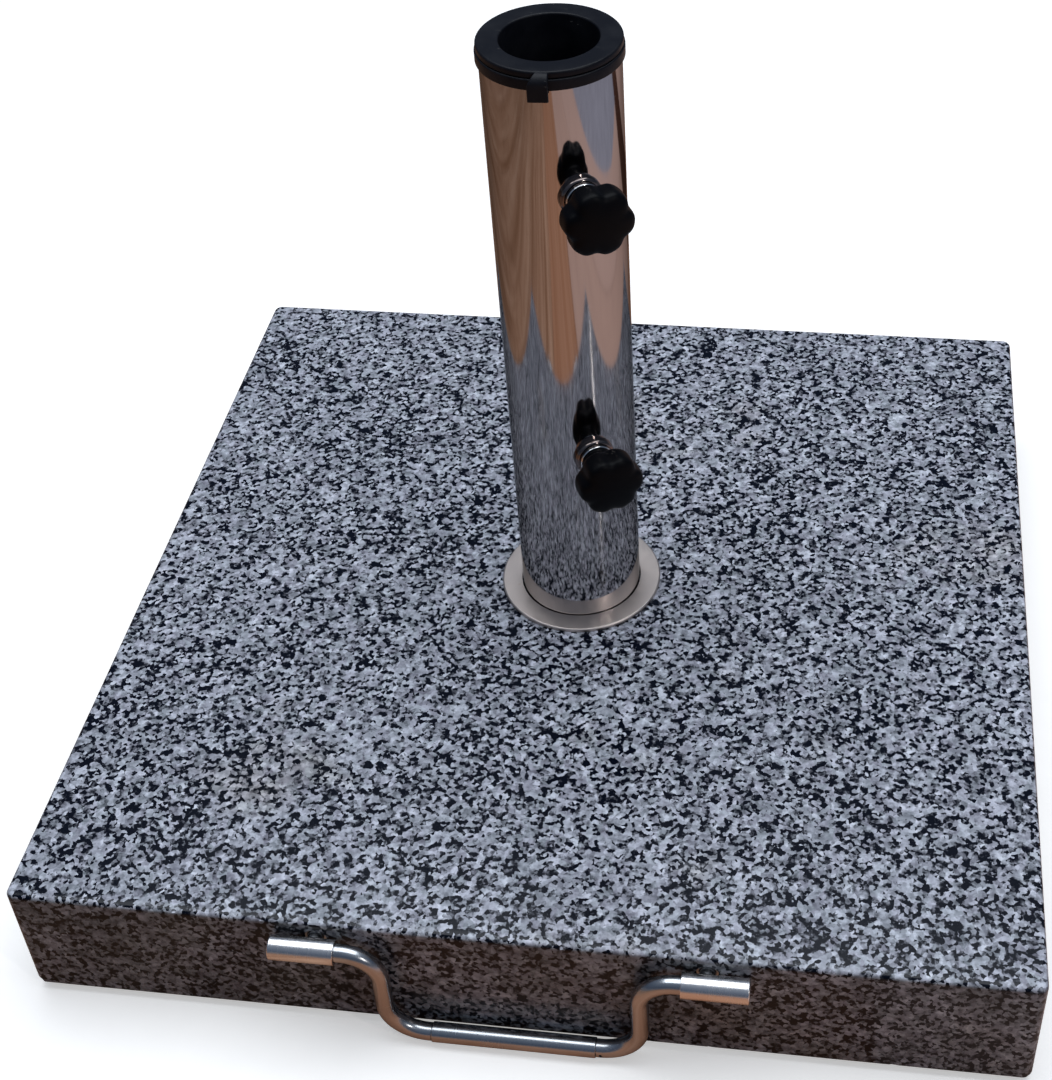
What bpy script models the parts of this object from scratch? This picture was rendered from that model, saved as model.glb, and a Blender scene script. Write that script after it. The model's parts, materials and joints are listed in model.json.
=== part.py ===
"""Parasol base: a square granite slab with a stainless pole tube, two clamp knobs, a swinging
carry handle on the -Y side and two transport rollers in the rear lower edge.

Metres, +Z up. The origin is on the tube's axis, at the ground.
"""

import math

import bmesh
import bpy
from mathutils import Matrix, Vector

MM = 0.001
GAP = 0.3 * MM

# Slab and feet
SLAB_SIDE = 450 * MM
SLAB_THICKNESS = 65 * MM
SLAB_CORNER = 4.5 * MM
SLAB_ARRIS = 2.2 * MM
FOOT_HEIGHT = 4 * MM
FOOT_RADIUS = 16 * MM
FOOT_REACH = 165 * MM
SLAB_BOTTOM = FOOT_HEIGHT
SLAB_TOP = SLAB_BOTTOM + SLAB_THICKNESS
FACE_Y = -SLAB_SIDE / 2
REAR_Y = SLAB_SIDE / 2

# Tube, its cover flange, and the parts that bolt it to the slab
TUBE_RADIUS = 30 * MM
TUBE_WALL = 1.5 * MM
TUBE_BORE = TUBE_RADIUS - TUBE_WALL
TUBE_BOTTOM = SLAB_TOP + GAP
COVER_RADIUS = 40.5 * MM
COVER_THICKNESS = 1.8 * MM
FOOT_PLATE_THICKNESS = 6 * MM
BOLT_RADIUS = 6 * MM
HEX_RADIUS = 11 * MM
NUT_HEIGHT = 10 * MM
BOLT_HEAD = 7.5 * MM
WASHER_RADIUS = 20 * MM
WASHER_THICKNESS = 4 * MM
RECESS_RADIUS = 23 * MM
RECESS_DEPTH = 20 * MM
HOLE_CLEARANCE = 0.5 * MM

# Rim ring and reducer sleeve
REDUCER_TOP = 374.5 * MM
REDUCER_FLANGE = 3 * MM
REDUCER_RADIUS = 30.8 * MM
POLE_HOLE_RADIUS = 21 * MM
COLLAR_WALL = 2.4 * MM
COLLAR_LENGTH = 38 * MM
COLLAR_RIB_RADIUS = 26.4 * MM
COLLAR_RIBS = 8
TAB_ROOT = (-1.6 * MM, 3.2 * MM)
TAB_END = (-5.2 * MM, 3.4 * MM)
TAB_SPREAD = (0.0, 0.25, 0.7, 1.0, 1.0)
TAB_THICKNESS = 1.6 * MM
TAB_DIRECTION = math.radians(2)
RIM_TOP = REDUCER_TOP - REDUCER_FLANGE - GAP
RIM_LIP = 1.6 * MM
RIM_SKIRT = 5 * MM
RIM_INNER_SKIRT = 14 * MM
TUBE_TOP = RIM_TOP - RIM_LIP - GAP
CENTRING_BOTTOM = SLAB_TOP + 24 * MM
CENTRING_HEIGHT = 20 * MM

# Clamp screws: distances are from the tube's axis, along the screw
CLAMP_HEIGHTS = {"upper": 315.4 * MM, "lower": 174.2 * MM}
CLAMP_DIRECTION = math.radians(28)
CLAMP_PHASE = {"upper": math.radians(80), "lower": math.radians(89)}
SCREW_RADIUS = 4 * MM
THREAD_HOLE = SCREW_RADIUS + GAP
BOSS_RADIUS = 9.6 * MM
BOSS_FILLET = 1.8 * MM
BOSS_END = 33.4 * MM
KNOB_RING_RADIUS = 7.9 * MM
KNOB_RING_BACK = BOSS_END + GAP
KNOB_BACK = KNOB_RING_BACK + 1.3 * MM + GAP
KNOB_NECK_RADIUS = 7.6 * MM
KNOB_NECK = 7.7 * MM
KNOB_DEPTH = 15.3 * MM
KNOB_RADIUS = 15.5 * MM
KNOB_LOBES = 6
KNOB_NOTCH = 1.8 * MM
SCREW_IN_KNOB = 15 * MM
KNOB_POINTS = 48
PAD_TIP = 18 * MM
PAD_LENGTH = 4 * MM
PAD_RADIUS = 3.8 * MM
SPIGOT_RADIUS = 2 * MM

# Carry handle: its axis runs along X, in front of the face
HANDLE_Y = FACE_Y - 6.5 * MM
HANDLE_Z = 59.6 * MM
ROD_RADIUS = 4 * MM
SLEEVE_RADIUS = 5.5 * MM
SLEEVE_BORE = ROD_RADIUS + GAP
SLEEVE_INNER = 74.5 * MM
SLEEVE_LENGTH = 29 * MM
SLEEVE_END_WALL = 2 * MM
LEG_X = 56.5 * MM
UPPER_BEND = 16 * MM
LOWER_BEND = 18 * MM
HANDLE_DROP = 53 * MM
GRIP_RADIUS = 4.5 * MM
GRIP_HALF = 36.8 * MM
GRIP_SPIGOT = 3 * MM
GRIP_SPIGOT_LENGTH = 10 * MM
DRAIN_RADIUS = 0.8 * MM
DRAIN_DEPTH = 2 * MM
DRAIN_X = GRIP_HALF + 2.2 * MM
POST_X = 85 * MM
POST_RADIUS = 3.5 * MM
ANCHOR_RADIUS = 5 * MM
ANCHOR_LENGTH = 32 * MM

# Transport rollers
ROLLER_X = 155 * MM
ROLLER_Y = 213 * MM
ROLLER_Z = 25.5 * MM
ROLLER_RADIUS = 24 * MM
ROLLER_WIDTH = 20 * MM
ROLLER_HUB_RADIUS = 18.6 * MM
AXLE_RADIUS = 4 * MM
BRACKET_PLATE = 2 * MM
BRACKET_WEB = 3 * MM
BRACKET_INSIDE = ROLLER_WIDTH / 2 + 1.2 * MM
POCKET_HALF_WIDTH = 17.5 * MM
POCKET_FRONT = 186 * MM
POCKET_ROOF = 54.5 * MM
BRACKET_TOP = POCKET_ROOF - GAP
BRACKET_FRONT = 190 * MM
BRACKET_REAR = 221 * MM
BRACKET_SCREW_Y = (197 * MM, 214 * MM)
BRACKET_SCREW_RADIUS = 2.5 * MM
BRACKET_SCREW_HEAD = 4.6 * MM
BRACKET_SCREW_LENGTH = 9 * MM

ALONG_X = Matrix.Rotation(math.pi / 2, 4, "Y")
ALONG_MINUS_Y = Matrix.Rotation(math.pi / 2, 4, "X")
CREASE = math.radians(32)


def clear_scene():
    for obj in list(bpy.data.objects):
        bpy.data.objects.remove(obj, do_unlink=True)


def finish_material(name, color, roughness, metallic=0.0):
    """A Principled material."""
    made = bpy.data.materials.new(name)
    made.use_nodes = True
    shader = made.node_tree.nodes["Principled BSDF"]
    shader.inputs["Base Color"].default_value = (*color, 1)
    shader.inputs["Roughness"].default_value = roughness
    shader.inputs["Metallic"].default_value = metallic
    made.diffuse_color = (*color, 1)
    return made


def place(name, mesh, look, matrix=None, parent=None):
    """An object for one sub-part, in its own copy of the look."""
    obj = bpy.data.objects.new(name, mesh)
    bpy.context.scene.collection.objects.link(obj)
    own = look.copy()
    own.name = name
    obj.data.materials.clear()
    obj.data.materials.append(own)
    obj.parent = parent
    if matrix is not None:
        obj.matrix_local = matrix
    return obj


def mesh_of(shape, name):
    """The finished mesh of a bmesh, smooth where its faces meet at a small angle."""
    bmesh.ops.recalc_face_normals(shape, faces=shape.faces)
    mesh = bpy.data.meshes.new(name)
    shape.to_mesh(mesh)
    shape.free()
    mesh.shade_smooth()
    mesh.set_sharp_from_angle(angle=CREASE)
    return mesh


def turned(profile, segments=40, closed=True):
    """A solid of revolution about Z from (radius, height) points; closed joins the last to the first."""
    shape = bmesh.new()
    points = [shape.verts.new((radius, 0, height)) for radius, height in profile]
    edges = [shape.edges.new(pair) for pair in zip(points, points[1:])]
    if closed:
        edges.append(shape.edges.new((points[-1], points[0])))
    bmesh.ops.spin(
        shape, geom=points + edges, cent=(0, 0, 0), axis=(0, 0, 1),
        angle=math.tau, steps=segments, use_merge=True,
    )
    bmesh.ops.remove_doubles(shape, verts=shape.verts, dist=1e-6)
    return shape


def ring_profile(inner, outer, low, high, edge=0.0):
    """The section of a plain ring, with its outer edges chamfered."""
    return [
        (inner, low), (outer - edge, low), (outer, low + edge),
        (outer, high - edge), (outer - edge, high), (inner, high),
    ] if edge else [(inner, low), (outer, low), (outer, high), (inner, high)]


def rod(radius, low, high, segments=16, edge=0.0):
    """A solid round bar along Z."""
    if edge:
        profile = [
            (0, low), (radius - edge, low), (radius, low + edge),
            (radius, high - edge), (radius - edge, high), (0, high),
        ]
    else:
        profile = [(0, low), (radius, low), (radius, high), (0, high)]
    return turned(profile, segments, closed=False)


def lofted(rings):
    """A solid skinned over rings of points, with flat ends."""
    shape = bmesh.new()
    rows = [[shape.verts.new(point) for point in ring] for ring in rings]
    count = len(rows[0])
    for lower, upper in zip(rows, rows[1:]):
        for i in range(count):
            j = (i + 1) % count
            shape.faces.new((lower[i], lower[j], upper[j], upper[i]))
    shape.faces.new(rows[0])
    shape.faces.new(rows[-1])
    return shape


def block(low, high):
    """A plain box between two corners."""
    shape = bmesh.new()
    bmesh.ops.create_cube(shape, size=1)
    low, high = Vector(low), Vector(high)
    size = high - low
    for vert in shape.verts:
        vert.co = (low + high) / 2 + Vector(a * b for a, b in zip(vert.co, size))
    return shape


def joined(*shapes):
    """Several shapes, which don't touch, in one bmesh."""
    whole = bmesh.new()
    for shape in shapes:
        mesh = bpy.data.meshes.new("piece")
        bmesh.ops.recalc_face_normals(shape, faces=shape.faces)
        shape.to_mesh(mesh)
        shape.free()
        whole.from_mesh(mesh)
        bpy.data.meshes.remove(mesh)
    return whole


def moved(shape, matrix):
    bmesh.ops.transform(shape, matrix=matrix, verts=shape.verts)
    return shape


def cut(obj, shape, name, operation="DIFFERENCE"):
    """Cuts a shape, in the object's own coordinates, from an object, or adds it to it."""
    bmesh.ops.recalc_face_normals(shape, faces=shape.faces)
    mesh = bpy.data.meshes.new(name)
    shape.to_mesh(mesh)
    shape.free()
    cutter = bpy.data.objects.new(name, mesh)
    bpy.context.scene.collection.objects.link(cutter)
    cutter.parent = obj
    cutter.hide_render = True
    cutter.display_type = "WIRE"
    modifier = obj.modifiers.new(name, "BOOLEAN")
    modifier.operation = operation
    modifier.object = cutter


def empty_at(name, location, turn_x=0.0, turn_z=0.0):
    """A named pivot."""
    pivot = bpy.data.objects.new(name, None)
    bpy.context.scene.collection.objects.link(pivot)
    pivot.empty_display_size = 0.02
    pivot.location = location
    pivot.rotation_euler = (turn_x, 0, turn_z)
    return pivot


def rounded_square(half, corner, steps=4):
    """The points of a square with round corners, anticlockwise."""
    points = []
    for quarter, (sx, sy) in enumerate([(1, 1), (-1, 1), (-1, -1), (1, -1)]):
        centre = Vector((sx * (half - corner), sy * (half - corner), 0))
        for step in range(steps + 1):
            angle = (quarter + step / steps) * math.pi / 2
            points.append(centre + corner * Vector((math.cos(angle), math.sin(angle), 0)))
    return points


def slab_solid():
    """The slab's block, with quarter-round arrises."""
    rings = []
    for level, direction in ((SLAB_BOTTOM, 1), (SLAB_TOP, -1)):
        arcs = []
        for step in range(3):
            angle = step / 2 * math.pi / 2
            inset = SLAB_ARRIS * (1 - math.sin(angle))
            height = level + direction * SLAB_ARRIS * (1 - math.cos(angle))
            outline = rounded_square(SLAB_SIDE / 2 - inset, SLAB_CORNER - inset)
            arcs.append([Vector((p.x, p.y, height)) for p in outline])
        rings += arcs if direction > 0 else arcs[::-1]
    return lofted(rings)


def make_slab(stone):
    slab = place("granite_slab", mesh_of(slab_solid(), "granite_slab"), stone)
    bolt_hole = BOLT_RADIUS + HOLE_CLEARANCE
    beyond = 5 * MM
    recess_roof = SLAB_BOTTOM + RECESS_DEPTH
    stepped_bore = turned(
        [
            (0, SLAB_BOTTOM - beyond), (RECESS_RADIUS, SLAB_BOTTOM - beyond),
            (RECESS_RADIUS, recess_roof), (bolt_hole, recess_roof),
            (bolt_hole, SLAB_TOP + beyond), (0, SLAB_TOP + beyond),
        ],
        28, closed=False,
    )
    anchor_holes = [
        moved(
            rod(ANCHOR_RADIUS + GAP, -ANCHOR_LENGTH - 1 * MM, beyond),
            Matrix.Translation((side * POST_X, FACE_Y, HANDLE_Z)) @ ALONG_MINUS_Y,
        )
        for side in (-1, 1)
    ]
    pockets = [
        block(
            (side * ROLLER_X - POCKET_HALF_WIDTH, POCKET_FRONT, SLAB_BOTTOM - beyond),
            (side * ROLLER_X + POCKET_HALF_WIDTH, REAR_Y + beyond, POCKET_ROOF),
        )
        for side in (-1, 1)
    ]
    cut(slab, joined(stepped_bore, *anchor_holes, *pockets), "slab_holes")
    screw_holes = [
        moved(
            rod(BRACKET_SCREW_RADIUS + GAP, -2 * MM, BRACKET_SCREW_LENGTH, 12),
            Matrix.Translation((side * ROLLER_X, y, POCKET_ROOF)),
        )
        for side in (-1, 1)
        for y in BRACKET_SCREW_Y
    ]
    cut(slab, joined(*screw_holes), "bracket_screw_holes")


def make_feet(rubber):
    """Four rubber feet, a little wider where they are glued to the slab."""
    top = FOOT_HEIGHT - GAP
    profile = [
        (0, 0), (FOOT_RADIUS - 1.6 * MM, 0), (FOOT_RADIUS - 0.8 * MM, 0.6 * MM),
        (FOOT_RADIUS, top), (0, top),
    ]
    mesh = mesh_of(turned(profile, 20, closed=False), "foot")
    for end, y in (("front", -FOOT_REACH), ("rear", FOOT_REACH)):
        for side, x in (("left", -FOOT_REACH), ("right", FOOT_REACH)):
            place(f"foot_{end}_{side}", mesh.copy(), rubber, Matrix.Translation((x, y, 0)))


def make_tube(steel):
    profile = ring_profile(TUBE_BORE, TUBE_RADIUS, TUBE_BOTTOM, TUBE_TOP)
    tube = place("pole_tube", mesh_of(turned(profile, 56), "pole_tube"), steel)
    holes = [
        moved(rod(THREAD_HOLE, TUBE_BORE - 6 * MM, TUBE_RADIUS + 6 * MM, 16), clamp_matrix(height))
        for height in CLAMP_HEIGHTS.values()
    ]
    cut(tube, joined(*holes), "screw_holes")


def make_cover_flange(steel):
    """A thin disc with a softly rounded rim round the foot of the tube."""
    low, high = SLAB_TOP + GAP, SLAB_TOP + GAP + COVER_THICKNESS
    hole = TUBE_RADIUS + 0.4 * MM
    profile = [
        (hole, low), (COVER_RADIUS, low), (COVER_RADIUS, low + 0.7 * MM),
        (COVER_RADIUS - 0.5 * MM, high - 0.3 * MM), (COVER_RADIUS - 1.4 * MM, high), (hole, high),
    ]
    place("cover_flange", mesh_of(turned(profile, 48), "cover_flange"), steel)


def hexagon(radius, low, high):
    """A hexagonal prism with its corners at the radius."""
    corners = [
        Vector((math.cos(i * math.tau / 6), math.sin(i * math.tau / 6), 0)) for i in range(6)
    ]
    chamfer = 0.8 * MM
    rings = [
        (radius - chamfer, low), (radius, low + chamfer / 2),
        (radius, high - chamfer / 2), (radius - chamfer, high),
    ]
    return lofted([[c * r + Vector((0, 0, z)) for c in corners] for r, z in rings])


def make_fixing(steel, plastic):
    """Foot plate and nut inside the tube; bolt, plate washer and bung under the slab."""
    plate_low = SLAB_TOP + GAP
    plate_high = plate_low + FOOT_PLATE_THICKNESS
    hole = BOLT_RADIUS + GAP
    plate = ring_profile(hole, TUBE_BORE - GAP, plate_low, plate_high)
    place("foot_plate", mesh_of(turned(plate, 36), "foot_plate"), steel)

    nut_low = plate_high + GAP
    nut_high = nut_low + NUT_HEIGHT
    nut = place("fixing_nut", mesh_of(hexagon(HEX_RADIUS, nut_low, nut_high), "nut"), steel)
    cut(nut, rod(hole, nut_low - 1 * MM, nut_high + 1 * MM, 20), "nut_bore")

    washer_high = SLAB_BOTTOM + RECESS_DEPTH - GAP
    washer_low = washer_high - WASHER_THICKNESS
    washer = ring_profile(hole, WASHER_RADIUS, washer_low, washer_high)
    place("plate_washer", mesh_of(turned(washer, 28), "plate_washer"), steel)

    head_high = washer_low - GAP
    head = hexagon(HEX_RADIUS, head_high - BOLT_HEAD, head_high)
    bolt = place("fixing_bolt", mesh_of(head, "fixing_bolt"), steel)
    shank = rod(BOLT_RADIUS, head_high - 2 * MM, nut_high + 3 * MM, 20, 0.6 * MM)
    cut(bolt, shank, "bolt_shank", "UNION")

    low, radius = SLAB_BOTTOM + 0.4 * MM, RECESS_RADIUS - GAP
    skirt, height, face = 2 * MM, 7 * MM, 2 * MM
    bung = [
        (0, low), (radius - 0.6 * MM, low), (radius, low + 0.6 * MM), (radius, low + height),
        (radius - skirt, low + height), (radius - skirt, low + face), (0, low + face),
    ]
    place("recess_bung", mesh_of(turned(bung, 28, closed=False), "recess_bung"), plastic)


def make_rim_ring(plastic):
    """A cap ring over the tube's end, with a skirt outside and one inside."""
    outer, skirt_inner = TUBE_RADIUS + 1.3 * MM, TUBE_RADIUS + GAP
    inner, inner_skirt = TUBE_BORE - 1.5 * MM, TUBE_BORE - GAP
    lip_low = RIM_TOP - RIM_LIP
    low = RIM_TOP - RIM_SKIRT
    profile = [
        (inner, RIM_TOP - RIM_INNER_SKIRT), (inner_skirt, RIM_TOP - RIM_INNER_SKIRT),
        (inner_skirt, lip_low), (skirt_inner, lip_low), (skirt_inner, low),
        (outer - 0.3 * MM, low), (outer, low + 0.3 * MM),
        (outer, RIM_TOP - 0.6 * MM), (outer - 0.6 * MM, RIM_TOP), (inner, RIM_TOP),
    ]
    place("rim_ring", mesh_of(turned(profile, 48), "rim_ring"), plastic)


def ribbed(obj, radius, low, high, start):
    """Adds radial ribs round a collar."""
    ribs = [
        moved(
            block((start, -0.8 * MM, low), (radius, 0.8 * MM, high)),
            Matrix.Rotation((i + 0.5) * math.tau / COLLAR_RIBS, 4, "Z"),
        )
        for i in range(COLLAR_RIBS)
    ]
    cut(obj, joined(*ribs), f"{obj.name}_ribs", "UNION")


def tab_solid():
    """The pull tab: it leaves the flange's edge, slopes outwards, spreads and turns straight down."""
    top = REDUCER_TOP
    outer_line = [
        (REDUCER_RADIUS - 2.5 * MM, top - 0.3 * MM), (REDUCER_RADIUS + 0.8 * MM, top - 0.3 * MM),
        (REDUCER_RADIUS + 3.2 * MM, top - 1.9 * MM), (REDUCER_RADIUS + 4.3 * MM, top - 4.6 * MM),
        (REDUCER_RADIUS + 4.5 * MM, top - 11.2 * MM),
    ]
    rings = []
    for i, (radius, height) in enumerate(outer_line):
        before = outer_line[max(i - 1, 0)]
        after = outer_line[min(i + 1, len(outer_line) - 1)]
        along = Vector((after[0] - before[0], 0, after[1] - before[1])).normalized()
        inwards = Vector((along.z, 0, -along.x)) * TAB_THICKNESS
        outside = Vector((radius, 0, height))
        left, right = (
            Vector((0, root + (end - root) * TAB_SPREAD[i], 0)) for root, end in zip(TAB_ROOT, TAB_END)
        )
        inside = outside + inwards
        rings.append([outside + left, outside + right, inside + right, inside + left])
    return moved(lofted(rings), Matrix.Rotation(TAB_DIRECTION - math.pi / 2, 4, "Z"))


def make_reducer(plastic):
    """Flange, ribbed collar and pull tab in one moulding."""
    low = REDUCER_TOP - REDUCER_FLANGE
    collar = POLE_HOLE_RADIUS + COLLAR_WALL
    profile = [
        (POLE_HOLE_RADIUS, low - COLLAR_LENGTH), (collar - 0.6 * MM, low - COLLAR_LENGTH),
        (collar, low - COLLAR_LENGTH + 1 * MM), (collar, low), (REDUCER_RADIUS - 0.3 * MM, low),
        (REDUCER_RADIUS, low + 0.3 * MM), (REDUCER_RADIUS, REDUCER_TOP - 0.7 * MM),
        (REDUCER_RADIUS - 0.25 * MM, REDUCER_TOP - 0.2 * MM), (REDUCER_RADIUS - 0.8 * MM, REDUCER_TOP),
        (POLE_HOLE_RADIUS + 0.6 * MM, REDUCER_TOP), (POLE_HOLE_RADIUS, REDUCER_TOP - 0.6 * MM),
    ]
    sleeve = place("reducer_sleeve", mesh_of(turned(profile, 48), "reducer_sleeve"), plastic)
    ribbed(sleeve, COLLAR_RIB_RADIUS, low - COLLAR_LENGTH + 4 * MM, low + 1 * MM, collar - 1 * MM)
    cut(sleeve, tab_solid(), "pull_tab", "UNION")


def make_centring_ring(plastic):
    low, high = CENTRING_BOTTOM, CENTRING_BOTTOM + CENTRING_HEIGHT
    collar = POLE_HOLE_RADIUS + COLLAR_WALL
    profile = [
        (POLE_HOLE_RADIUS, low), (TUBE_BORE - GAP, low), (TUBE_BORE - GAP, low + 2 * MM),
        (collar, low + 2 * MM), (collar, high), (POLE_HOLE_RADIUS + 1.2 * MM, high),
        (POLE_HOLE_RADIUS, high - 1.5 * MM),
    ]
    ring = place("centring_ring", mesh_of(turned(profile, 36), "centring_ring"), plastic)
    ribbed(ring, TUBE_BORE - GAP, low + 1 * MM, high - 2 * MM, collar - 1 * MM)


def clamp_matrix(height):
    """Local Z runs out from the tube's axis along the screw, and local Y is up."""
    return (
        Matrix.Translation((0, 0, height))
        @ Matrix.Rotation(CLAMP_DIRECTION, 4, "Z")
        @ ALONG_MINUS_Y
    )


def boss_solid():
    """A low turned boss with a round shoulder, before its foot is shaped to the tube."""
    start, middle = TUBE_BORE - 2 * MM, BOSS_FILLET * (1 - math.sqrt(0.5))
    profile = [
        (THREAD_HOLE, start), (BOSS_RADIUS, start), (BOSS_RADIUS, BOSS_END - BOSS_FILLET),
        (BOSS_RADIUS - middle, BOSS_END - middle), (BOSS_RADIUS - BOSS_FILLET, BOSS_END),
        (THREAD_HOLE, BOSS_END),
    ]
    return turned(profile, 28)


def screw_solid():
    """The stud: a spigot at its tip, then the full thread's diameter into the knob."""
    shoulder = PAD_TIP + PAD_LENGTH + GAP
    profile = [
        (0, PAD_TIP + 1.6 * MM), (SPIGOT_RADIUS, PAD_TIP + 1.6 * MM), (SPIGOT_RADIUS, shoulder),
        (SCREW_RADIUS - 0.6 * MM, shoulder), (SCREW_RADIUS, shoulder + 0.6 * MM),
        (SCREW_RADIUS, KNOB_BACK + SCREW_IN_KNOB), (0, KNOB_BACK + SCREW_IN_KNOB),
    ]
    return turned(profile, 16, closed=False)


def pad_solid():
    """A cap that turns on the screw's spigot."""
    socket = SPIGOT_RADIUS + GAP
    profile = [
        (0, PAD_TIP), (PAD_RADIUS - 0.5 * MM, PAD_TIP), (PAD_RADIUS, PAD_TIP + 0.5 * MM),
        (PAD_RADIUS, PAD_TIP + PAD_LENGTH), (socket, PAD_TIP + PAD_LENGTH),
        (socket, PAD_TIP + 1.3 * MM), (0, PAD_TIP + 1.3 * MM),
    ]
    return turned(profile, 16, closed=False)


def knob_solid(phase):
    """A round neck, then a head of six round lobes with narrow notches between them, and a domed face."""
    neck = KNOB_NECK_RADIUS / KNOB_RADIUS
    layers = [  # height from the head's back as a share of its depth, share of the radius, how lobed
        (-KNOB_NECK / KNOB_DEPTH, neck, 0.0), (-0.08, neck, 0.0), (0.0, 0.80, 0.6), (0.12, 0.96, 1.0),
        (0.24, 1.0, 1.0), (0.64, 0.99, 1.0), (0.82, 0.90, 0.9), (0.93, 0.72, 0.5), (1.0, 0.30, 0.0),
    ]
    rings = []
    for depth, share, lobed in layers:
        out = KNOB_BACK + KNOB_NECK + depth * KNOB_DEPTH
        ring = []
        for i in range(KNOB_POINTS):
            angle = i / KNOB_POINTS * math.tau
            notch = math.cos(KNOB_LOBES / 2 * (angle - phase)) ** 4
            radius = share * (KNOB_RADIUS - KNOB_NOTCH * lobed * notch)
            ring.append(Vector((radius * math.cos(angle), radius * math.sin(angle), out)))
        rings.append(ring)
    return lofted(rings)


def make_clamp(which, height, steel, chrome, plastic, nylon):
    """Boss on the tube; screw, ring and knob that turn; and the pad that only slides."""
    matrix = clamp_matrix(height)
    boss = place(f"boss_{which}", mesh_of(boss_solid(), "boss"), steel, matrix)
    into_boss = matrix.inverted() @ Matrix.Translation((0, 0, height))
    seat = moved(rod(TUBE_RADIUS + GAP, -15 * MM, 15 * MM, 56), into_boss)
    cut(boss, seat, f"boss_seat_{which}")

    pivot = empty_at(f"clamp_axis_{which}", (0, 0, height), math.pi / 2, CLAMP_DIRECTION)
    place(f"pressure_pad_{which}", mesh_of(pad_solid(), "pad"), nylon, parent=pivot)
    place(f"clamp_screw_{which}", mesh_of(screw_solid(), "screw"), steel, parent=pivot)
    ring = ring_profile(THREAD_HOLE, KNOB_RING_RADIUS, KNOB_RING_BACK, KNOB_BACK - GAP, 0.4 * MM)
    place(f"knob_ring_{which}", mesh_of(turned(ring, 32), "knob_ring"), chrome, parent=pivot)
    solid = mesh_of(knob_solid(CLAMP_PHASE[which]), "knob")
    knob = place(f"star_knob_{which}", solid, plastic, parent=pivot)
    cut(knob, rod(THREAD_HOLE, KNOB_BACK - 3 * MM, KNOB_BACK + SCREW_IN_KNOB + 0.5 * MM), f"knob_bore_{which}")


def arc(centre_x, centre_z, radius, start, end, steps):
    """Points of an arc in the XZ plane, from one angle in degrees to another."""
    angles = [math.radians(start + (end - start) * i / steps) for i in range(steps + 1)]
    return [Vector((centre_x + radius * math.cos(a), 0, centre_z + radius * math.sin(a))) for a in angles]


def elbow_path():
    """The right elbow's centreline, from inside its sleeve to the grip, about the handle's axis."""
    stub_end = SLEEVE_INNER + SLEEVE_LENGTH - SLEEVE_END_WALL - 1 * MM
    upper = arc(LEG_X + UPPER_BEND, -UPPER_BEND, UPPER_BEND, 90, 180, 6)
    lower = arc(LEG_X - LOWER_BEND, LOWER_BEND - HANDLE_DROP, LOWER_BEND, 0, -90, 6)
    return [Vector((stub_end, 0, 0)), *upper, *lower, Vector((GRIP_HALF + GAP / 2, 0, -HANDLE_DROP))]


def swept(path, radius, sides):
    """A round bar along a path in the XZ plane."""
    rings = []
    for i, point in enumerate(path):
        before, after = path[max(i - 1, 0)], path[min(i + 1, len(path) - 1)]
        along = (after - before).normalized()
        across = Vector((along.z, 0, -along.x))
        angles = [j / sides * math.tau for j in range(sides)]
        rings.append([
            point + radius * (math.cos(a) * across + math.sin(a) * Vector((0, 1, 0))) for a in angles
        ])
    return lofted(rings)


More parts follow.
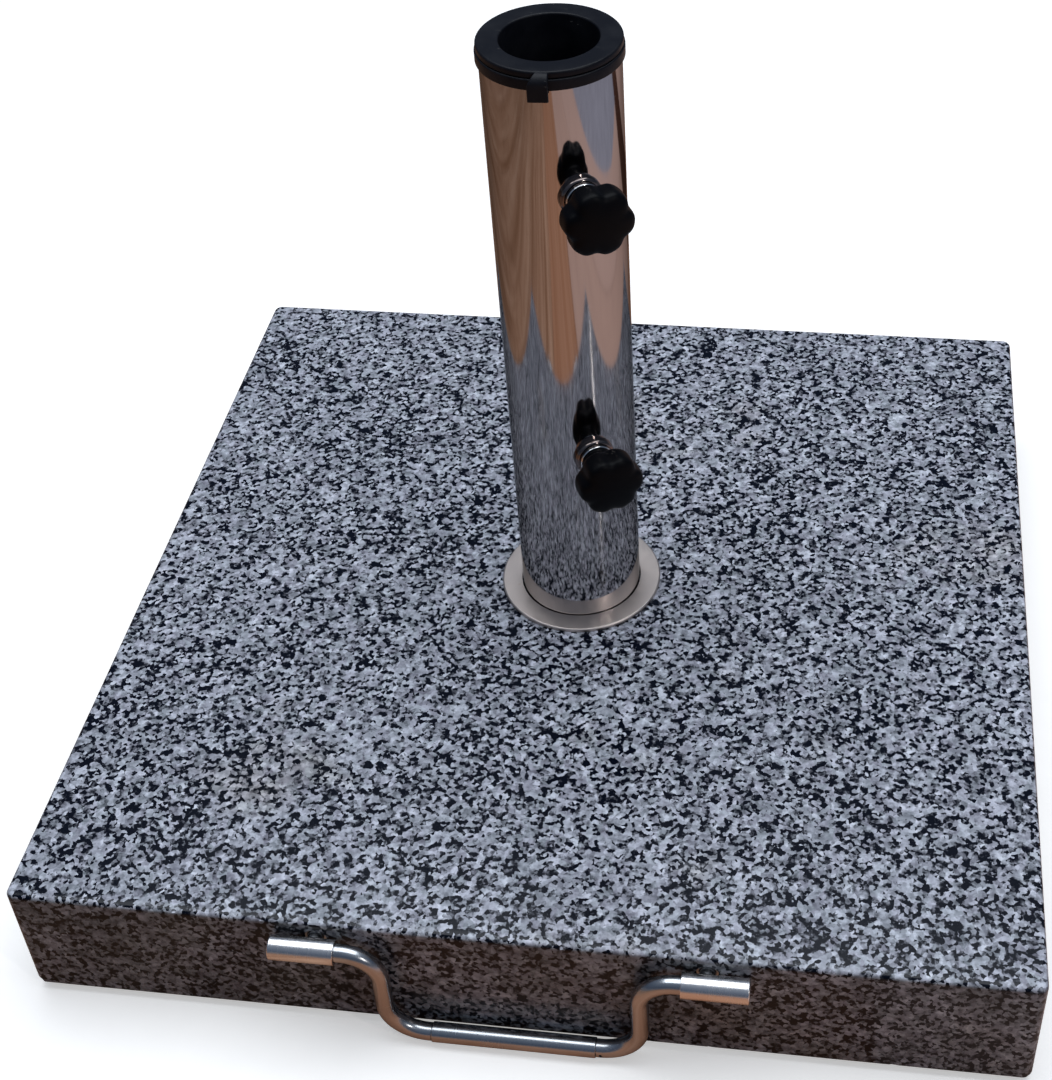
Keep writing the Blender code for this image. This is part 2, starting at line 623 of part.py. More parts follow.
def make_handle(steel):
    """Two sleeves held off the face by posts, and the bail of two elbows and a grip between them."""
    pivot = empty_at("handle_axis", (0, HANDLE_Y, HANDLE_Z))
    for side, sign in (("left", -1), ("right", 1)):
        mirror = Matrix.Scale(sign, 4, (1, 0, 0))
        outer = SLEEVE_INNER + SLEEVE_LENGTH
        profile = [
            (SLEEVE_BORE, SLEEVE_INNER), (SLEEVE_RADIUS - 0.4 * MM, SLEEVE_INNER),
            (SLEEVE_RADIUS, SLEEVE_INNER + 0.4 * MM), (SLEEVE_RADIUS, outer - 0.5 * MM),
            (SLEEVE_RADIUS - 0.5 * MM, outer), (0, outer), (0, outer - SLEEVE_END_WALL),
            (SLEEVE_BORE, outer - SLEEVE_END_WALL),
        ]
        sleeve = moved(turned(profile, 24), Matrix.Translation((0, HANDLE_Y, HANDLE_Z)) @ mirror @ ALONG_X)
        place(f"handle_sleeve_{side}", mesh_of(sleeve, "sleeve"), steel)

        at_post = Matrix.Translation((sign * POST_X, FACE_Y, HANDLE_Z)) @ ALONG_MINUS_Y
        post = rod(POST_RADIUS, -ANCHOR_LENGTH + 2 * MM, 6.5 * MM)
        post = place(f"handle_post_{side}", mesh_of(post, "post"), steel, at_post)
        around_sleeve = Matrix.Translation((0, 0, 6.5 * MM)) @ ALONG_X
        cut(post, moved(rod(SLEEVE_RADIUS + GAP, -8 * MM, 8 * MM, 24), around_sleeve), f"post_saddle_{side}")
        bush = ring_profile(POST_RADIUS + GAP, ANCHOR_RADIUS, -ANCHOR_LENGTH, -1 * MM)
        place(f"handle_anchor_{side}", mesh_of(turned(bush, 16), "anchor"), steel, at_post)

        bar = moved(swept(elbow_path(), ROD_RADIUS, 14), mirror)
        elbow = place(f"handle_elbow_{side}", mesh_of(bar, "elbow"), steel, parent=pivot)
        inside_grip = rod(GRIP_SPIGOT, GRIP_HALF - GRIP_SPIGOT_LENGTH, GRIP_HALF + 3 * MM)
        to_grip = mirror @ Matrix.Translation((0, 0, -HANDLE_DROP)) @ ALONG_X
        cut(elbow, moved(inside_grip, to_grip), f"elbow_spigot_{side}", "UNION")
        if side == "right":
            drain = rod(DRAIN_RADIUS, ROD_RADIUS - DRAIN_DEPTH, ROD_RADIUS + DRAIN_DEPTH, 12)
            at_drain = Matrix.Translation((DRAIN_X, 0, -HANDLE_DROP)) @ ALONG_MINUS_Y
            cut(elbow, moved(drain, at_drain), "elbow_drain")
    bore = GRIP_SPIGOT + GAP
    half = GRIP_HALF - GAP / 2
    edge = 0.25 * MM
    tube = [
        (bore, -half), (GRIP_RADIUS - edge, -half), (GRIP_RADIUS, edge - half),
        (GRIP_RADIUS, half - edge), (GRIP_RADIUS - edge, half), (bore, half),
    ]
    grip = moved(turned(tube, 24), Matrix.Translation((0, 0, -HANDLE_DROP)) @ ALONG_X)
    place("handle_grip", mesh_of(grip, "grip"), steel, parent=pivot)


def bracket_solid():
    """A channel over the roller, open below."""
    outside = BRACKET_INSIDE + BRACKET_PLATE
    low = ROLLER_Z - 7 * MM
    section = [
        (-outside, low), (-BRACKET_INSIDE, low), (-BRACKET_INSIDE, BRACKET_TOP - BRACKET_WEB),
        (BRACKET_INSIDE, BRACKET_TOP - BRACKET_WEB), (BRACKET_INSIDE, low), (outside, low),
        (outside, BRACKET_TOP), (-outside, BRACKET_TOP),
    ]
    return lofted([[Vector((x, y, z)) for x, z in section] for y in (BRACKET_FRONT, BRACKET_REAR)])


def countersunk(radius, head, low, high):
    """A countersunk screw's outline from the face of its head at low, up to its point at high."""
    shoulder = low + head - radius
    return turned([(0, low), (head, low), (radius, shoulder), (radius, high), (0, high)], 16, closed=False)


def make_roller(side, sign, steel, plastic, rubber):
    """Bracket with its two screws, axle with its cap, hub and tyre."""
    at_pocket = Matrix.Translation((sign * ROLLER_X, 0, 0))
    bracket = place(f"roller_bracket_{side}", mesh_of(bracket_solid(), "bracket"), steel, at_pocket)
    web_low = BRACKET_TOP - BRACKET_WEB
    screw_end = BRACKET_TOP + BRACKET_SCREW_LENGTH - 2 * MM
    screw_head, sink_head = BRACKET_SCREW_HEAD - GAP, BRACKET_SCREW_HEAD + 0.4 * MM
    sinks, outside = [], BRACKET_INSIDE + BRACKET_PLATE
    for index, y in enumerate(BRACKET_SCREW_Y):
        screw = countersunk(BRACKET_SCREW_RADIUS, screw_head, web_low + 0.2 * MM, screw_end)
        at_screw = at_pocket @ Matrix.Translation((0, y, 0))
        place(f"bracket_screw_{side}_{index + 1}", mesh_of(screw, "bracket_screw"), steel, at_screw)
        sink = countersunk(BRACKET_SCREW_RADIUS + GAP, sink_head, web_low - 0.4 * MM, BRACKET_TOP + 1 * MM)
        sinks.append(moved(sink, Matrix.Translation((0, y, 0))))
    on_axle = Matrix.Translation((0, ROLLER_Y, ROLLER_Z)) @ ALONG_X
    axle_hole = moved(rod(AXLE_RADIUS + GAP, -outside - 1 * MM, outside + 1 * MM), on_axle)
    cut(bracket, joined(*sinks), f"bracket_sinks_{side}")
    cut(bracket, axle_hole, f"bracket_axle_holes_{side}")

    mirror = Matrix.Scale(sign, 4, (1, 0, 0))
    axle_matrix = at_pocket @ mirror @ on_axle
    head, cap = 2 * MM, 2.2 * MM
    shoulder, shank_end = -outside - GAP, outside + cap
    axle = turned(
        [
            (0, shoulder - head), (AXLE_RADIUS + 1.6 * MM, shoulder - head),
            (AXLE_RADIUS + 2.2 * MM, shoulder - head + 0.6 * MM), (AXLE_RADIUS + 2.2 * MM, shoulder),
            (AXLE_RADIUS, shoulder), (AXLE_RADIUS, shank_end), (0, shank_end),
        ],
        16, closed=False,
    )
    place(f"roller_axle_{side}", mesh_of(moved(axle, axle_matrix), "axle"), steel)
    retainer = turned(
        [
            (AXLE_RADIUS + GAP, outside + GAP), (AXLE_RADIUS + 2.6 * MM, outside + GAP),
            (AXLE_RADIUS + 2.2 * MM, shank_end + 0.4 * MM), (0, shank_end + 1.4 * MM),
            (0, shank_end + GAP), (AXLE_RADIUS + GAP, shank_end + GAP),
        ],
        16,
    )
    place(f"axle_cap_{side}", mesh_of(moved(retainer, axle_matrix), "axle_cap"), steel)

    pivot = empty_at(f"roller_axis_{side}", (sign * ROLLER_X, ROLLER_Y, ROLLER_Z))
    half, bore, rim_half = ROLLER_WIDTH / 2, AXLE_RADIUS + GAP, 8.5 * MM
    web_half, boss_radius, rim_inner = 2.5 * MM, 8 * MM, 15 * MM
    hub = [
        (bore, -half), (boss_radius, -half), (boss_radius, -web_half), (rim_inner, -web_half),
        (rim_inner, -rim_half), (ROLLER_HUB_RADIUS, -rim_half), (ROLLER_HUB_RADIUS, rim_half),
        (rim_inner, rim_half), (rim_inner, web_half), (boss_radius, web_half), (boss_radius, half),
        (bore, half),
    ]
    place(f"roller_hub_{side}", mesh_of(moved(turned(hub, 24), ALONG_X), "hub"), plastic, parent=pivot)
    tyre_inner, tread = ROLLER_HUB_RADIUS + GAP, ROLLER_RADIUS - 2.2 * MM
    tyre = [
        (tyre_inner, -rim_half), (tread, -half + 0.4 * MM), (ROLLER_RADIUS, -half + 3.5 * MM),
        (ROLLER_RADIUS, half - 3.5 * MM), (tread, half - 0.4 * MM), (tyre_inner, rim_half),
    ]
    place(f"roller_tyre_{side}", mesh_of(moved(turned(tyre, 32), ALONG_X), "tyre"), rubber, parent=pivot)


def main():
    clear_scene()
    stone = finish_material("granite", (0.42, 0.43, 0.46), 0.25)
    mirror_steel = finish_material("mirror_steel", (0.72, 0.70, 0.68), 0.08, 1.0)
    satin_steel = finish_material("satin_steel", (0.62, 0.60, 0.58), 0.28, 1.0)
    zinc_steel = finish_material("zinc_steel", (0.55, 0.55, 0.56), 0.4, 1.0)
    chrome = finish_material("chrome", (0.8, 0.8, 0.8), 0.06, 1.0)
    black = finish_material("black_plastic", (0.018, 0.02, 0.026), 0.42)
    knob_black = finish_material("knob_plastic", (0.01, 0.01, 0.013), 0.38)
    nylon = finish_material("nylon", (0.75, 0.74, 0.70), 0.5)
    rubber = finish_material("rubber", (0.02, 0.02, 0.02), 0.85)

    make_slab(stone)
    make_feet(rubber)
    make_tube(mirror_steel)
    make_cover_flange(satin_steel)
    make_fixing(zinc_steel, black)
    make_rim_ring(black)
    make_reducer(black)
    make_centring_ring(black)
    for which, height in CLAMP_HEIGHTS.items():
        make_clamp(which, height, satin_steel, chrome, knob_black, nylon)
    make_handle(satin_steel)
    for side, sign in (("left", -1), ("right", 1)):
        make_roller(side, sign, zinc_steel, black, rubber)


main()
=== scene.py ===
"""Parasol base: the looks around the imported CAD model. Metres, +Z up, origin on the tube's axis."""

import json
import math
import random

import bmesh
import bpy
from mathutils import Matrix, Vector


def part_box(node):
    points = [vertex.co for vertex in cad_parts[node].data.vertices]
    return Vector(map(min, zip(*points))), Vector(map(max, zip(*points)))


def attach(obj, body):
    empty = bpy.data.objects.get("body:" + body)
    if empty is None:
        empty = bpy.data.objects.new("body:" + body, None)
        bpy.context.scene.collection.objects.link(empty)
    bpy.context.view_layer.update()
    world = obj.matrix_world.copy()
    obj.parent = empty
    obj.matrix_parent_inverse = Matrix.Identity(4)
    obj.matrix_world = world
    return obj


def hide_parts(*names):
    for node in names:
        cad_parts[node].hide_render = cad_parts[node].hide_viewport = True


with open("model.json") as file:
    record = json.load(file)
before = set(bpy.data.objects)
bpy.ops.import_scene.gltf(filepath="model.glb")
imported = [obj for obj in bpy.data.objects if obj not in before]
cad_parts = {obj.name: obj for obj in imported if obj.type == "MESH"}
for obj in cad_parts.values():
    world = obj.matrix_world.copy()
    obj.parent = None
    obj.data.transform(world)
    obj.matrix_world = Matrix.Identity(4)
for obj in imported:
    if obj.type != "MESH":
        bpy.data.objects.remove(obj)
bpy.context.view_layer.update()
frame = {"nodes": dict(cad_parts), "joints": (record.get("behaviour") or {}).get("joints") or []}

MM = 0.001
GAP = 0.3 * MM
ROUND = 160  # segments of a large turned piece
TUBE_WALL = 1.5 * MM
THREAD_HOLE = 4.3 * MM
POLE_HOLE = 21 * MM
COLLAR = 23.4 * MM
RIBS = 8
RIB_HALF = 0.8 * MM
JOINTS = {joint["name"]: joint for joint in frame["joints"]}

# The camera: where it stands, where it looks, and the part of a larger picture that it frames
CAMERA_PLACE = (0.1254, -0.6766, 0.7230)
CAMERA_TURN = math.radians(-9.588)
CAMERA_DOWN = math.radians(39.659)
CAMERA_ROLL = math.radians(-2.894)
CAMERA_LENS = 61.15
CAMERA_SHIFT = (-0.0654, -0.0825)


def ends(node):
    """The lowest and highest corners of a CAD node, as plain vectors."""
    low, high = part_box(node)
    return Vector(low), Vector(high)


def half_width(node):
    low, high = ends(node)
    return (high.x - low.x) / 2


# ---------------------------------------------------------------- shapes


def rounded(corners, closed=True, steps=5):
    """An outline of (radius, height, fillet) corners, with an arc of a few steps on each fillet."""
    outline = []
    count = len(corners)
    for i, (r, z, fillet) in enumerate(corners):
        here = Vector((r, z))
        if not fillet or (not closed and i in (0, count - 1)):
            outline.append(here)
            continue
        before = (Vector(corners[i - 1][:2]) - here).normalized()
        after = (Vector(corners[(i + 1) % count][:2]) - here).normalized()
        half = before.angle(after) / 2
        centre = here + (before + after).normalized() * fillet / math.sin(half)
        start = here + before * fillet / math.tan(half) - centre
        end = here + after * fillet / math.tan(half) - centre
        sweep = start.angle_signed(end)
        for step in range(steps + 1):
            outline.append(centre + Matrix.Rotation(-sweep * step / steps, 2) @ start)
    return outline


def turned(corners, segments=ROUND, closed=True, steps=5):
    """A solid of revolution about Z from an outline with fillets."""
    shape = bmesh.new()
    outline = rounded(corners, closed, steps)
    points = [shape.verts.new((p.x, 0, p.y)) for p in outline]
    edges = [shape.edges.new(pair) for pair in zip(points, points[1:])]
    if closed:
        edges.append(shape.edges.new((points[-1], points[0])))
    bmesh.ops.spin(
        shape, geom=points + edges, cent=(0, 0, 0), axis=(0, 0, 1),
        angle=math.tau, steps=segments, use_merge=True,
    )
    bmesh.ops.remove_doubles(shape, verts=shape.verts, dist=1e-6)
    return shape


def lofted(rings):
    """A solid skinned over rings of points, with flat ends."""
    shape = bmesh.new()
    rows = [[shape.verts.new(point) for point in ring] for ring in rings]
    count = len(rows[0])
    for lower, upper in zip(rows, rows[1:]):
        for i in range(count):
            j = (i + 1) % count
            shape.faces.new((lower[i], lower[j], upper[j], upper[i]))
    shape.faces.new(rows[0])
    shape.faces.new(rows[-1])
    return shape


def block(low, high):
    """A plain box between two corners, used only to cut or to join."""
    low, high = Vector(low), Vector(high)
    shape = bmesh.new()
    bmesh.ops.create_cube(shape, size=1)
    for vert in shape.verts:
        vert.co = (low + high) / 2 + Vector(a * b for a, b in zip(vert.co, high - low))
    return shape


def rod(radius, low, high, segments=48):
    """A round bar along Z."""
    corners = [(0, low, 0), (radius, low, 0), (radius, high, 0), (0, high, 0)]
    return turned(corners, segments, closed=False)


def moved(shape, matrix):
    """The same shape, elsewhere."""
    bmesh.ops.transform(shape, matrix=matrix, verts=shape.verts)
    return shape


def joined(*shapes):
    """Several shapes in one."""
    whole = bmesh.new()
    for shape in shapes:
        mesh = bpy.data.meshes.new("joined")
        bmesh.ops.recalc_face_normals(shape, faces=shape.faces)
        shape.to_mesh(mesh)
        shape.free()
        whole.from_mesh(mesh)
        bpy.data.meshes.remove(mesh)
    return whole


def helper(shape, name):
    """An object for a Boolean to work on."""
    bmesh.ops.recalc_face_normals(shape, faces=shape.faces)
    mesh = bpy.data.meshes.new(name)
    shape.to_mesh(mesh)
    shape.free()
    made = bpy.data.objects.new(name, mesh)
    bpy.context.scene.collection.objects.link(made)
    return made


def combined(shape, other, operation, crossing=False):
    """One shape cut by another, or joined with it; crossing lets the other's own parts overlap."""
    body, tool = helper(shape, "body"), helper(other, "tool")
    modifier = body.modifiers.new("combine", "BOOLEAN")
    modifier.operation = operation
    modifier.object = tool
    modifier.use_self = crossing
    bpy.context.view_layer.update()
    evaluated = body.evaluated_get(bpy.context.evaluated_depsgraph_get())
    result = bmesh.new()
    result.from_mesh(evaluated.to_mesh())
    evaluated.to_mesh_clear()
    for obj in (body, tool):
        mesh = obj.data
        bpy.data.objects.remove(obj)
        bpy.data.meshes.remove(mesh)
    bmesh.ops.remove_doubles(result, verts=result.verts, dist=2e-7)
    return result


def aligned(place, forward):
    """A matrix with local Z forward, local Y up, and its origin at the place."""
    forward = Vector(forward).normalized()
    across = Vector((0, 0, 1)).cross(forward).normalized()
    up = forward.cross(across)
    return Matrix.Translation(place) @ Matrix((across, up, forward)).transposed().to_4x4()


def swept(path, radius, sides=48):
    """A round bar along a path in a plane that holds Y."""
    rings = []
    for i, point in enumerate(path):
        along = (path[min(i + 1, len(path) - 1)] - path[max(i - 1, 0)]).normalized()
        across = Vector((along.z, 0, -along.x))
        rings.append([
            point + radius * (math.cos(a) * across + math.sin(a) * Vector((0, 1, 0)))
            for a in (j / sides * math.tau for j in range(sides))
        ])
    return lofted(rings)


def piece(name, shape, look, body, replaced=(), matrix=None, crease=32):
    """A finished piece: a smooth mesh with its look, riding on its body in place of its CAD nodes."""
    bmesh.ops.recalc_face_normals(shape, faces=shape.faces)
    mesh = bpy.data.meshes.new(name)
    shape.to_mesh(mesh)
    shape.free()
    mesh.shade_smooth()
    mesh.set_sharp_from_angle(angle=math.radians(crease))
    mesh.materials.append(look)
    made = bpy.data.objects.new(name, mesh)
    bpy.context.scene.collection.objects.link(made)
    if matrix is not None:
        made.matrix_world = matrix
    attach(made, body)
    if replaced:
        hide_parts(*replaced)
    return made


# ---------------------------------------------------------------- materials


def add(tree, kind, values=(), **settings):
    """A shader node: settings are its properties, values its inputs, each a constant or an output."""
    made = tree.nodes.new("ShaderNode" + kind)
    for key, value in settings.items():
        setattr(made, key, value)
    for key, value in dict(values).items():
        if isinstance(value, bpy.types.NodeSocket):
            tree.links.new(value, made.inputs[key])
        else:
            made.inputs[key].default_value = value
    return made


def math_node(tree, operation, first, second=0.0, third=0.0):
    return add(tree, "Math", {0: first, 1: second, 2: third}, operation=operation).outputs[0]


def mixed(tree, share, first, second, blend="MIX"):
    """A colour between two others."""
    made = add(tree, "Mix", {"Factor": share}, data_type="RGBA", blend_type=blend)
    for index, value in ((6, first), (7, second)):
        if isinstance(value, bpy.types.NodeSocket):
            tree.links.new(value, made.inputs[index])
        else:
            made.inputs[index].default_value = (*value, 1)
    return made.outputs[2]


def ramp(tree, value, stops):
    """A colour or a grey looked up along a row of (position, colour) stops."""
    made = add(tree, "ValToRGB", {0: value})
    elements = made.color_ramp.elements
    while len(elements) > 1:
        elements.remove(elements[-1])
    for i, (position, color) in enumerate(stops):
        element = elements[0] if i == 0 else elements.new(position)
        element.position = position
        element.color = (color, color, color, 1) if isinstance(color, float) else (*color, 1)
    return made.outputs[0]


def start_material(name):
    """A material with its shader, and the coordinates of the object that wears it."""
    material = bpy.data.materials.new(name)
    material.use_nodes = True
    tree = material.node_tree
    shader = tree.nodes["Principled BSDF"]
    place = add(tree, "TexCoord").outputs["Object"]
    return material, tree, shader, place


def noise(tree, place, scale, detail=3.0, rough=0.5, output=0):
    values = {"Vector": place, "Scale": scale, "Detail": detail, "Roughness": rough}
    return add(tree, "TexNoise", values).outputs[output]


def stretched(tree, place, scale):
    return add(tree, "Mapping", {"Vector": place, "Scale": scale}).outputs[0]


def bumped(tree, shader, height, distance, strength=1.0):
    """Relief too fine to model."""
    made = add(tree, "Bump", {"Height": height, "Distance": distance, "Strength": strength})
    tree.links.new(made.outputs[0], shader.inputs["Normal"])


def granite_look():
    """Salt and pepper granite: pale grains a few millimetres across, with black mica in ragged clusters."""
    material, tree, shader, place = start_material("granite_polished")
    ragged = add(
        tree, "VectorMath",
        {0: noise(tree, place, 430, 2.0, 0.6, 1), 1: (0.5, 0.5, 0.5)}, operation="SUBTRACT",
    ).outputs[0]
    shift = add(tree, "VectorMath", {0: ragged, "Scale": 2.0 * MM}, operation="SCALE").outputs[0]
    bent = add(tree, "VectorMath", {0: place, 1: shift}, operation="ADD").outputs[0]

    def cells(scale):
        found = add(tree, "TexVoronoi", {"Vector": bent, "Scale": scale, "Randomness": 1.0})
        parts = add(tree, "SeparateColor", {0: found.outputs["Color"]})
        return parts.outputs[0], parts.outputs[1]

    fine, fine_tone = cells(530)
    coarse, coarse_tint = cells(210)
    cluster = noise(tree, place, 160, 3.0, 0.65)
    region = noise(tree, place, 14, 2.0, 0.5)

    cloud = ramp(tree, noise(tree, place, 270, 3.0, 0.6), [(0.30, 0.0), (0.70, 1.0)])
    grains = math_node(tree, "MULTIPLY_ADD", fine_tone, 0.34, math_node(tree, "MULTIPLY", coarse, 0.26))
    tone = math_node(tree, "MULTIPLY_ADD", cloud, 0.40, grains)
    feldspar = ramp(tree, tone, [
        (0.08, (0.110, 0.116, 0.140)), (0.30, (0.235, 0.244, 0.282)),
        (0.52, (0.400, 0.414, 0.470)), (0.70, (0.570, 0.588, 0.662)), (0.90, (0.780, 0.800, 0.880)),
    ])
    tinted = mixed(tree, 0.12, feldspar, mixed(tree, coarse_tint, (0.42, 0.50, 0.46), (0.52, 0.42, 0.54)))
    pepper = math_node(
        tree, "ADD", fine,
        math_node(tree, "MULTIPLY", math_node(tree, "SUBTRACT", cluster, 0.5), 1.7),
    )
    pepper = math_node(
        tree, "ADD", pepper,
        math_node(tree, "MULTIPLY", math_node(tree, "SUBTRACT", region, 0.5), 0.45),
    )
    black = ramp(tree, pepper, [(0.25, 1.0), (0.34, 0.88), (0.45, 0.46), (0.61, 0.0)])
    stone = mixed(tree, black, tinted, (0.0008, 0.0022, 0.0080))

    stain_field = noise(tree, place, 11, 4.0, 0.6)
    stain = ramp(tree, stain_field, [(0.60, 0.0), (0.74, 0.5)])
    stained = mixed(tree, stain, stone, mixed(tree, 1.0, stone, (0.88, 0.76, 0.60), "MULTIPLY"))
    # Painted shade: the slab's sides and underside are darkened in patches, standing in for the shade they
    # sit in; the same side mask also raises their roughness.
    facing = add(tree, "SeparateXYZ", {0: add(tree, "NewGeometry").outputs["True Normal"]}).outputs[2]
    side = ramp(tree, facing, [(0.35, 1.0), (0.9, 0.0)])
    painted_side_shade = math_node(
        tree, "MULTIPLY", side, ramp(tree, noise(tree, place, 26, 4.0, 0.6), [(0.3, 0.45), (0.7, 0.95)])
    )
    final = mixed(tree, painted_side_shade, stained, mixed(tree, 1.0, stained, (0.255, 0.262, 0.240), "MULTIPLY"))
    tree.links.new(final, shader.inputs["Base Color"])
    polish = ramp(tree, noise(tree, place, 60, 3.0, 0.6), [(0.3, 0.07), (0.7, 0.12)])
    dull = math_node(tree, "ADD", polish, math_node(tree, "MULTIPLY", black, 0.08))
    dull = math_node(tree, "MULTIPLY_ADD", side, 0.16, dull)
    tree.links.new(dull, shader.inputs["Roughness"])
    shader.inputs["Specular IOR Level"].default_value = 0.22
    pits = math_node(tree, "MULTIPLY", black, noise(tree, place, 900, 2.0, 0.6))
    bumped(tree, shader, math_node(tree, "SUBTRACT", 1.0, pits), 0.04 * MM, 0.3)
    return material


def steel_look(name, color, roughness, lines, depth, spots=0.0, edge=1.0):
    """Stainless steel: lines is the scale of its fine finishing lines along local X, Y and Z, and edge
    how much of its brightness it keeps where it is seen at a shallow angle."""
    material, tree, shader, place = start_material(name)
    shader.inputs["Metallic"].default_value = 1.0
    shader.inputs["Specular Tint"].default_value = (edge, edge, edge, 1)
    drawn = noise(tree, stretched(tree, place, lines), 1.0, 3.0, 0.65)
    patches = noise(tree, place, 38, 3.0, 0.6)
    base = mixed(tree, drawn, tuple(c * 0.90 for c in color), color)
    warm = tuple(c * k for c, k in zip(color, (0.86, 0.72, 0.55)))
    rust = ramp(tree, noise(tree, place, 240, 3.0, 0.6), [(0.70, 0.0), (0.78, 1.0)])
    near = ramp(tree, noise(tree, place, 45, 2.0, 0.5), [(0.52, 0.0), (0.68, spots)])
    base = mixed(tree, math_node(tree, "MULTIPLY", rust, near), base, warm)
    tree.links.new(base, shader.inputs["Base Color"])
    rough = math_node(tree, "MULTIPLY_ADD", drawn, roughness * 0.5, roughness * 0.6)
    smudge = math_node(tree, "MULTIPLY_ADD", patches, roughness * 0.5, -roughness * 0.1)
    tree.links.new(math_node(tree, "ADD", rough, smudge), shader.inputs["Roughness"])
    bumped(tree, shader, drawn, depth)
    return material


def plastic_look(name, color, roughness, grain, dust, scuffs=0.0, specular=0.4):
    """Moulded plastic: a fine grain, dust in patches and a few pale scuffs."""
    material, tree, shader, place = start_material(name)
    shader.inputs["Specular IOR Level"].default_value = specular
    cloud = noise(tree, place, 70, 4.0, 0.6)
    dusty = ramp(tree, cloud, [(0.42, 0.0), (0.75, dust)])
    base = mixed(tree, dusty, color, (0.17, 0.175, 0.185))
    scratch = noise(tree, stretched(tree, place, (90, 420, 420)), 1.0, 3.0, 0.7)
    rub = math_node(
        tree, "MULTIPLY", ramp(tree, scratch, [(0.66, 0.0), (0.74, 1.0)]),
        ramp(tree, noise(tree, place, 55, 2.0, 0.5), [(0.52, 0.0), (0.66, scuffs)]),
    )
    base = mixed(tree, rub, base, (0.23, 0.22, 0.20))
    tree.links.new(base, shader.inputs["Base Color"])
    fine = noise(tree, place, 1500, 2.0, 0.6)
    rough = math_node(tree, "MULTIPLY_ADD", cloud, 0.22, roughness - 0.11)
    tree.links.new(rough, shader.inputs["Roughness"])
    bumped(tree, shader, fine, grain)
    return material


# ---------------------------------------------------------------- pieces


def rounded_square(half, corner, steps=8):
    """The points of a square with round corners, anticlockwise."""
    points = []
    for quarter, (sx, sy) in enumerate([(1, 1), (-1, 1), (-1, -1), (1, -1)]):
        centre = Vector((sx * (half - corner), sy * (half - corner), 0))
        for step in range(steps + 1):
            angle = (quarter + step / steps) * math.pi / 2
            points.append(centre + corner * Vector((math.cos(angle), math.sin(angle), 0)))
    return points


def chip(source, place, size):
    """A small ragged lump that takes a flake out of an edge."""
    lump = bmesh.new()
    bmesh.ops.create_icosphere(lump, subdivisions=1, radius=size)
    for vert in lump.verts:
        vert.co *= source.uniform(0.72, 1.15)
    turn = Matrix.Rotation(source.uniform(0, math.tau), 4, Vector((source.random(), source.random(), 1)))
    return moved(lump, Matrix.Translation(place) @ turn)


def chips(half, low, high):
    """Flakes along the slab's top and bottom edges, and larger ones at its lower corners."""
    source = random.Random(11)
    lumps = []
    for level, count, largest in ((high, 17, 1.9), (low, 12, 3.2)):
        for side in range(4):
            turn = Matrix.Rotation(side * math.pi / 2, 4, "Z")
            for i in range(count):
                along = half * (2 * (i + source.uniform(0.2, 0.8)) / count - 1) * 0.975
                size = source.uniform(0.9, largest) * MM
                out = size * source.uniform(0.15, 0.45)
                up = out if level == high else -out
                place = Vector((along, -half + out * 0.2 - 0.1 * MM, level + up * 0.2))
                lumps.append(chip(source, turn @ place, size))
    for sx, sy, size in ((-1, -1, 5.0), (1, -1, 3.4), (-1, 1, 3.0), (1, 1, 3.8)):
        corner = Vector((sx * half, sy * half, low))
        lumps.append(chip(source, corner, size * MM))
    return joined(*lumps)


def slab(look):
    """The slab: quarter-round arrises, the holes that its fittings need, and chipped edges."""
    low, high = ends("granite_slab")
    half, corner, arris = high.x, 4.5 * MM, 2.2 * MM
    rings = []
    for level, direction in ((low.z, 1), (high.z, -1)):
        arcs = []
        for step in range(9):
            angle = step / 8 * math.pi / 2
            inset = arris * (1 - math.sin(angle))
            height = level + direction * arris * (1 - math.cos(angle))
            outline = rounded_square(half - inset, corner - inset)
            arcs.append([Vector((p.x, p.y, height)) for p in outline])
        rings += arcs if direction > 0 else arcs[::-1]
    body = lofted(rings)

    beyond = 6 * MM
    bolt_hole = 6.5 * MM
    recess = half_width("recess_bung") + GAP
    roof = ends("plate_washer")[1].z + GAP
    holes = [turned(
        [
            (0, low.z - beyond, 0), (recess, low.z - beyond, 0), (recess, roof, 0),
            (bolt_hole, roof, 0), (bolt_hole, high.z + beyond, 0), (0, high.z + beyond, 0),
        ],
        96, closed=False,
    )]
    for side in ("left", "right"):
        near, far = ends(f"handle_anchor_{side}")
        middle = (near + far) / 2
        deep = aligned((middle.x, far.y + 1 * MM, middle.z), (0, -1, 0))
        holes.append(moved(rod((far.x - near.x) / 2 + GAP, 0, far.y - low.y + beyond), deep))
        near, far = ends(f"roller_bracket_{side}")
        sideways = 4.3 * MM
        holes.append(block(
            (near.x - sideways, near.y - 4 * MM, low.z - beyond),
            (far.x + sideways, high.y + beyond, far.z + GAP),
        ))
    body = combined(body, joined(*holes), "DIFFERENCE")
    screw_holes = []
    for side in ("left", "right"):
        for index in (1, 2):
            near, far = ends(f"bracket_screw_{side}_{index}")
            middle = (near + far) / 2
            hole = rod(2.8 * MM, near.z + 1.5 * MM, far.z + 2 * MM, 24)
            screw_holes.append(moved(hole, Matrix.Translation((middle.x, middle.y, 0))))
    body = combined(body, joined(*screw_holes), "DIFFERENCE")
    body = combined(body, chips(half, low.z, high.z), "DIFFERENCE", crossing=True)
    piece("slab_polished", body, look, "base", ["granite_slab"], crease=28)


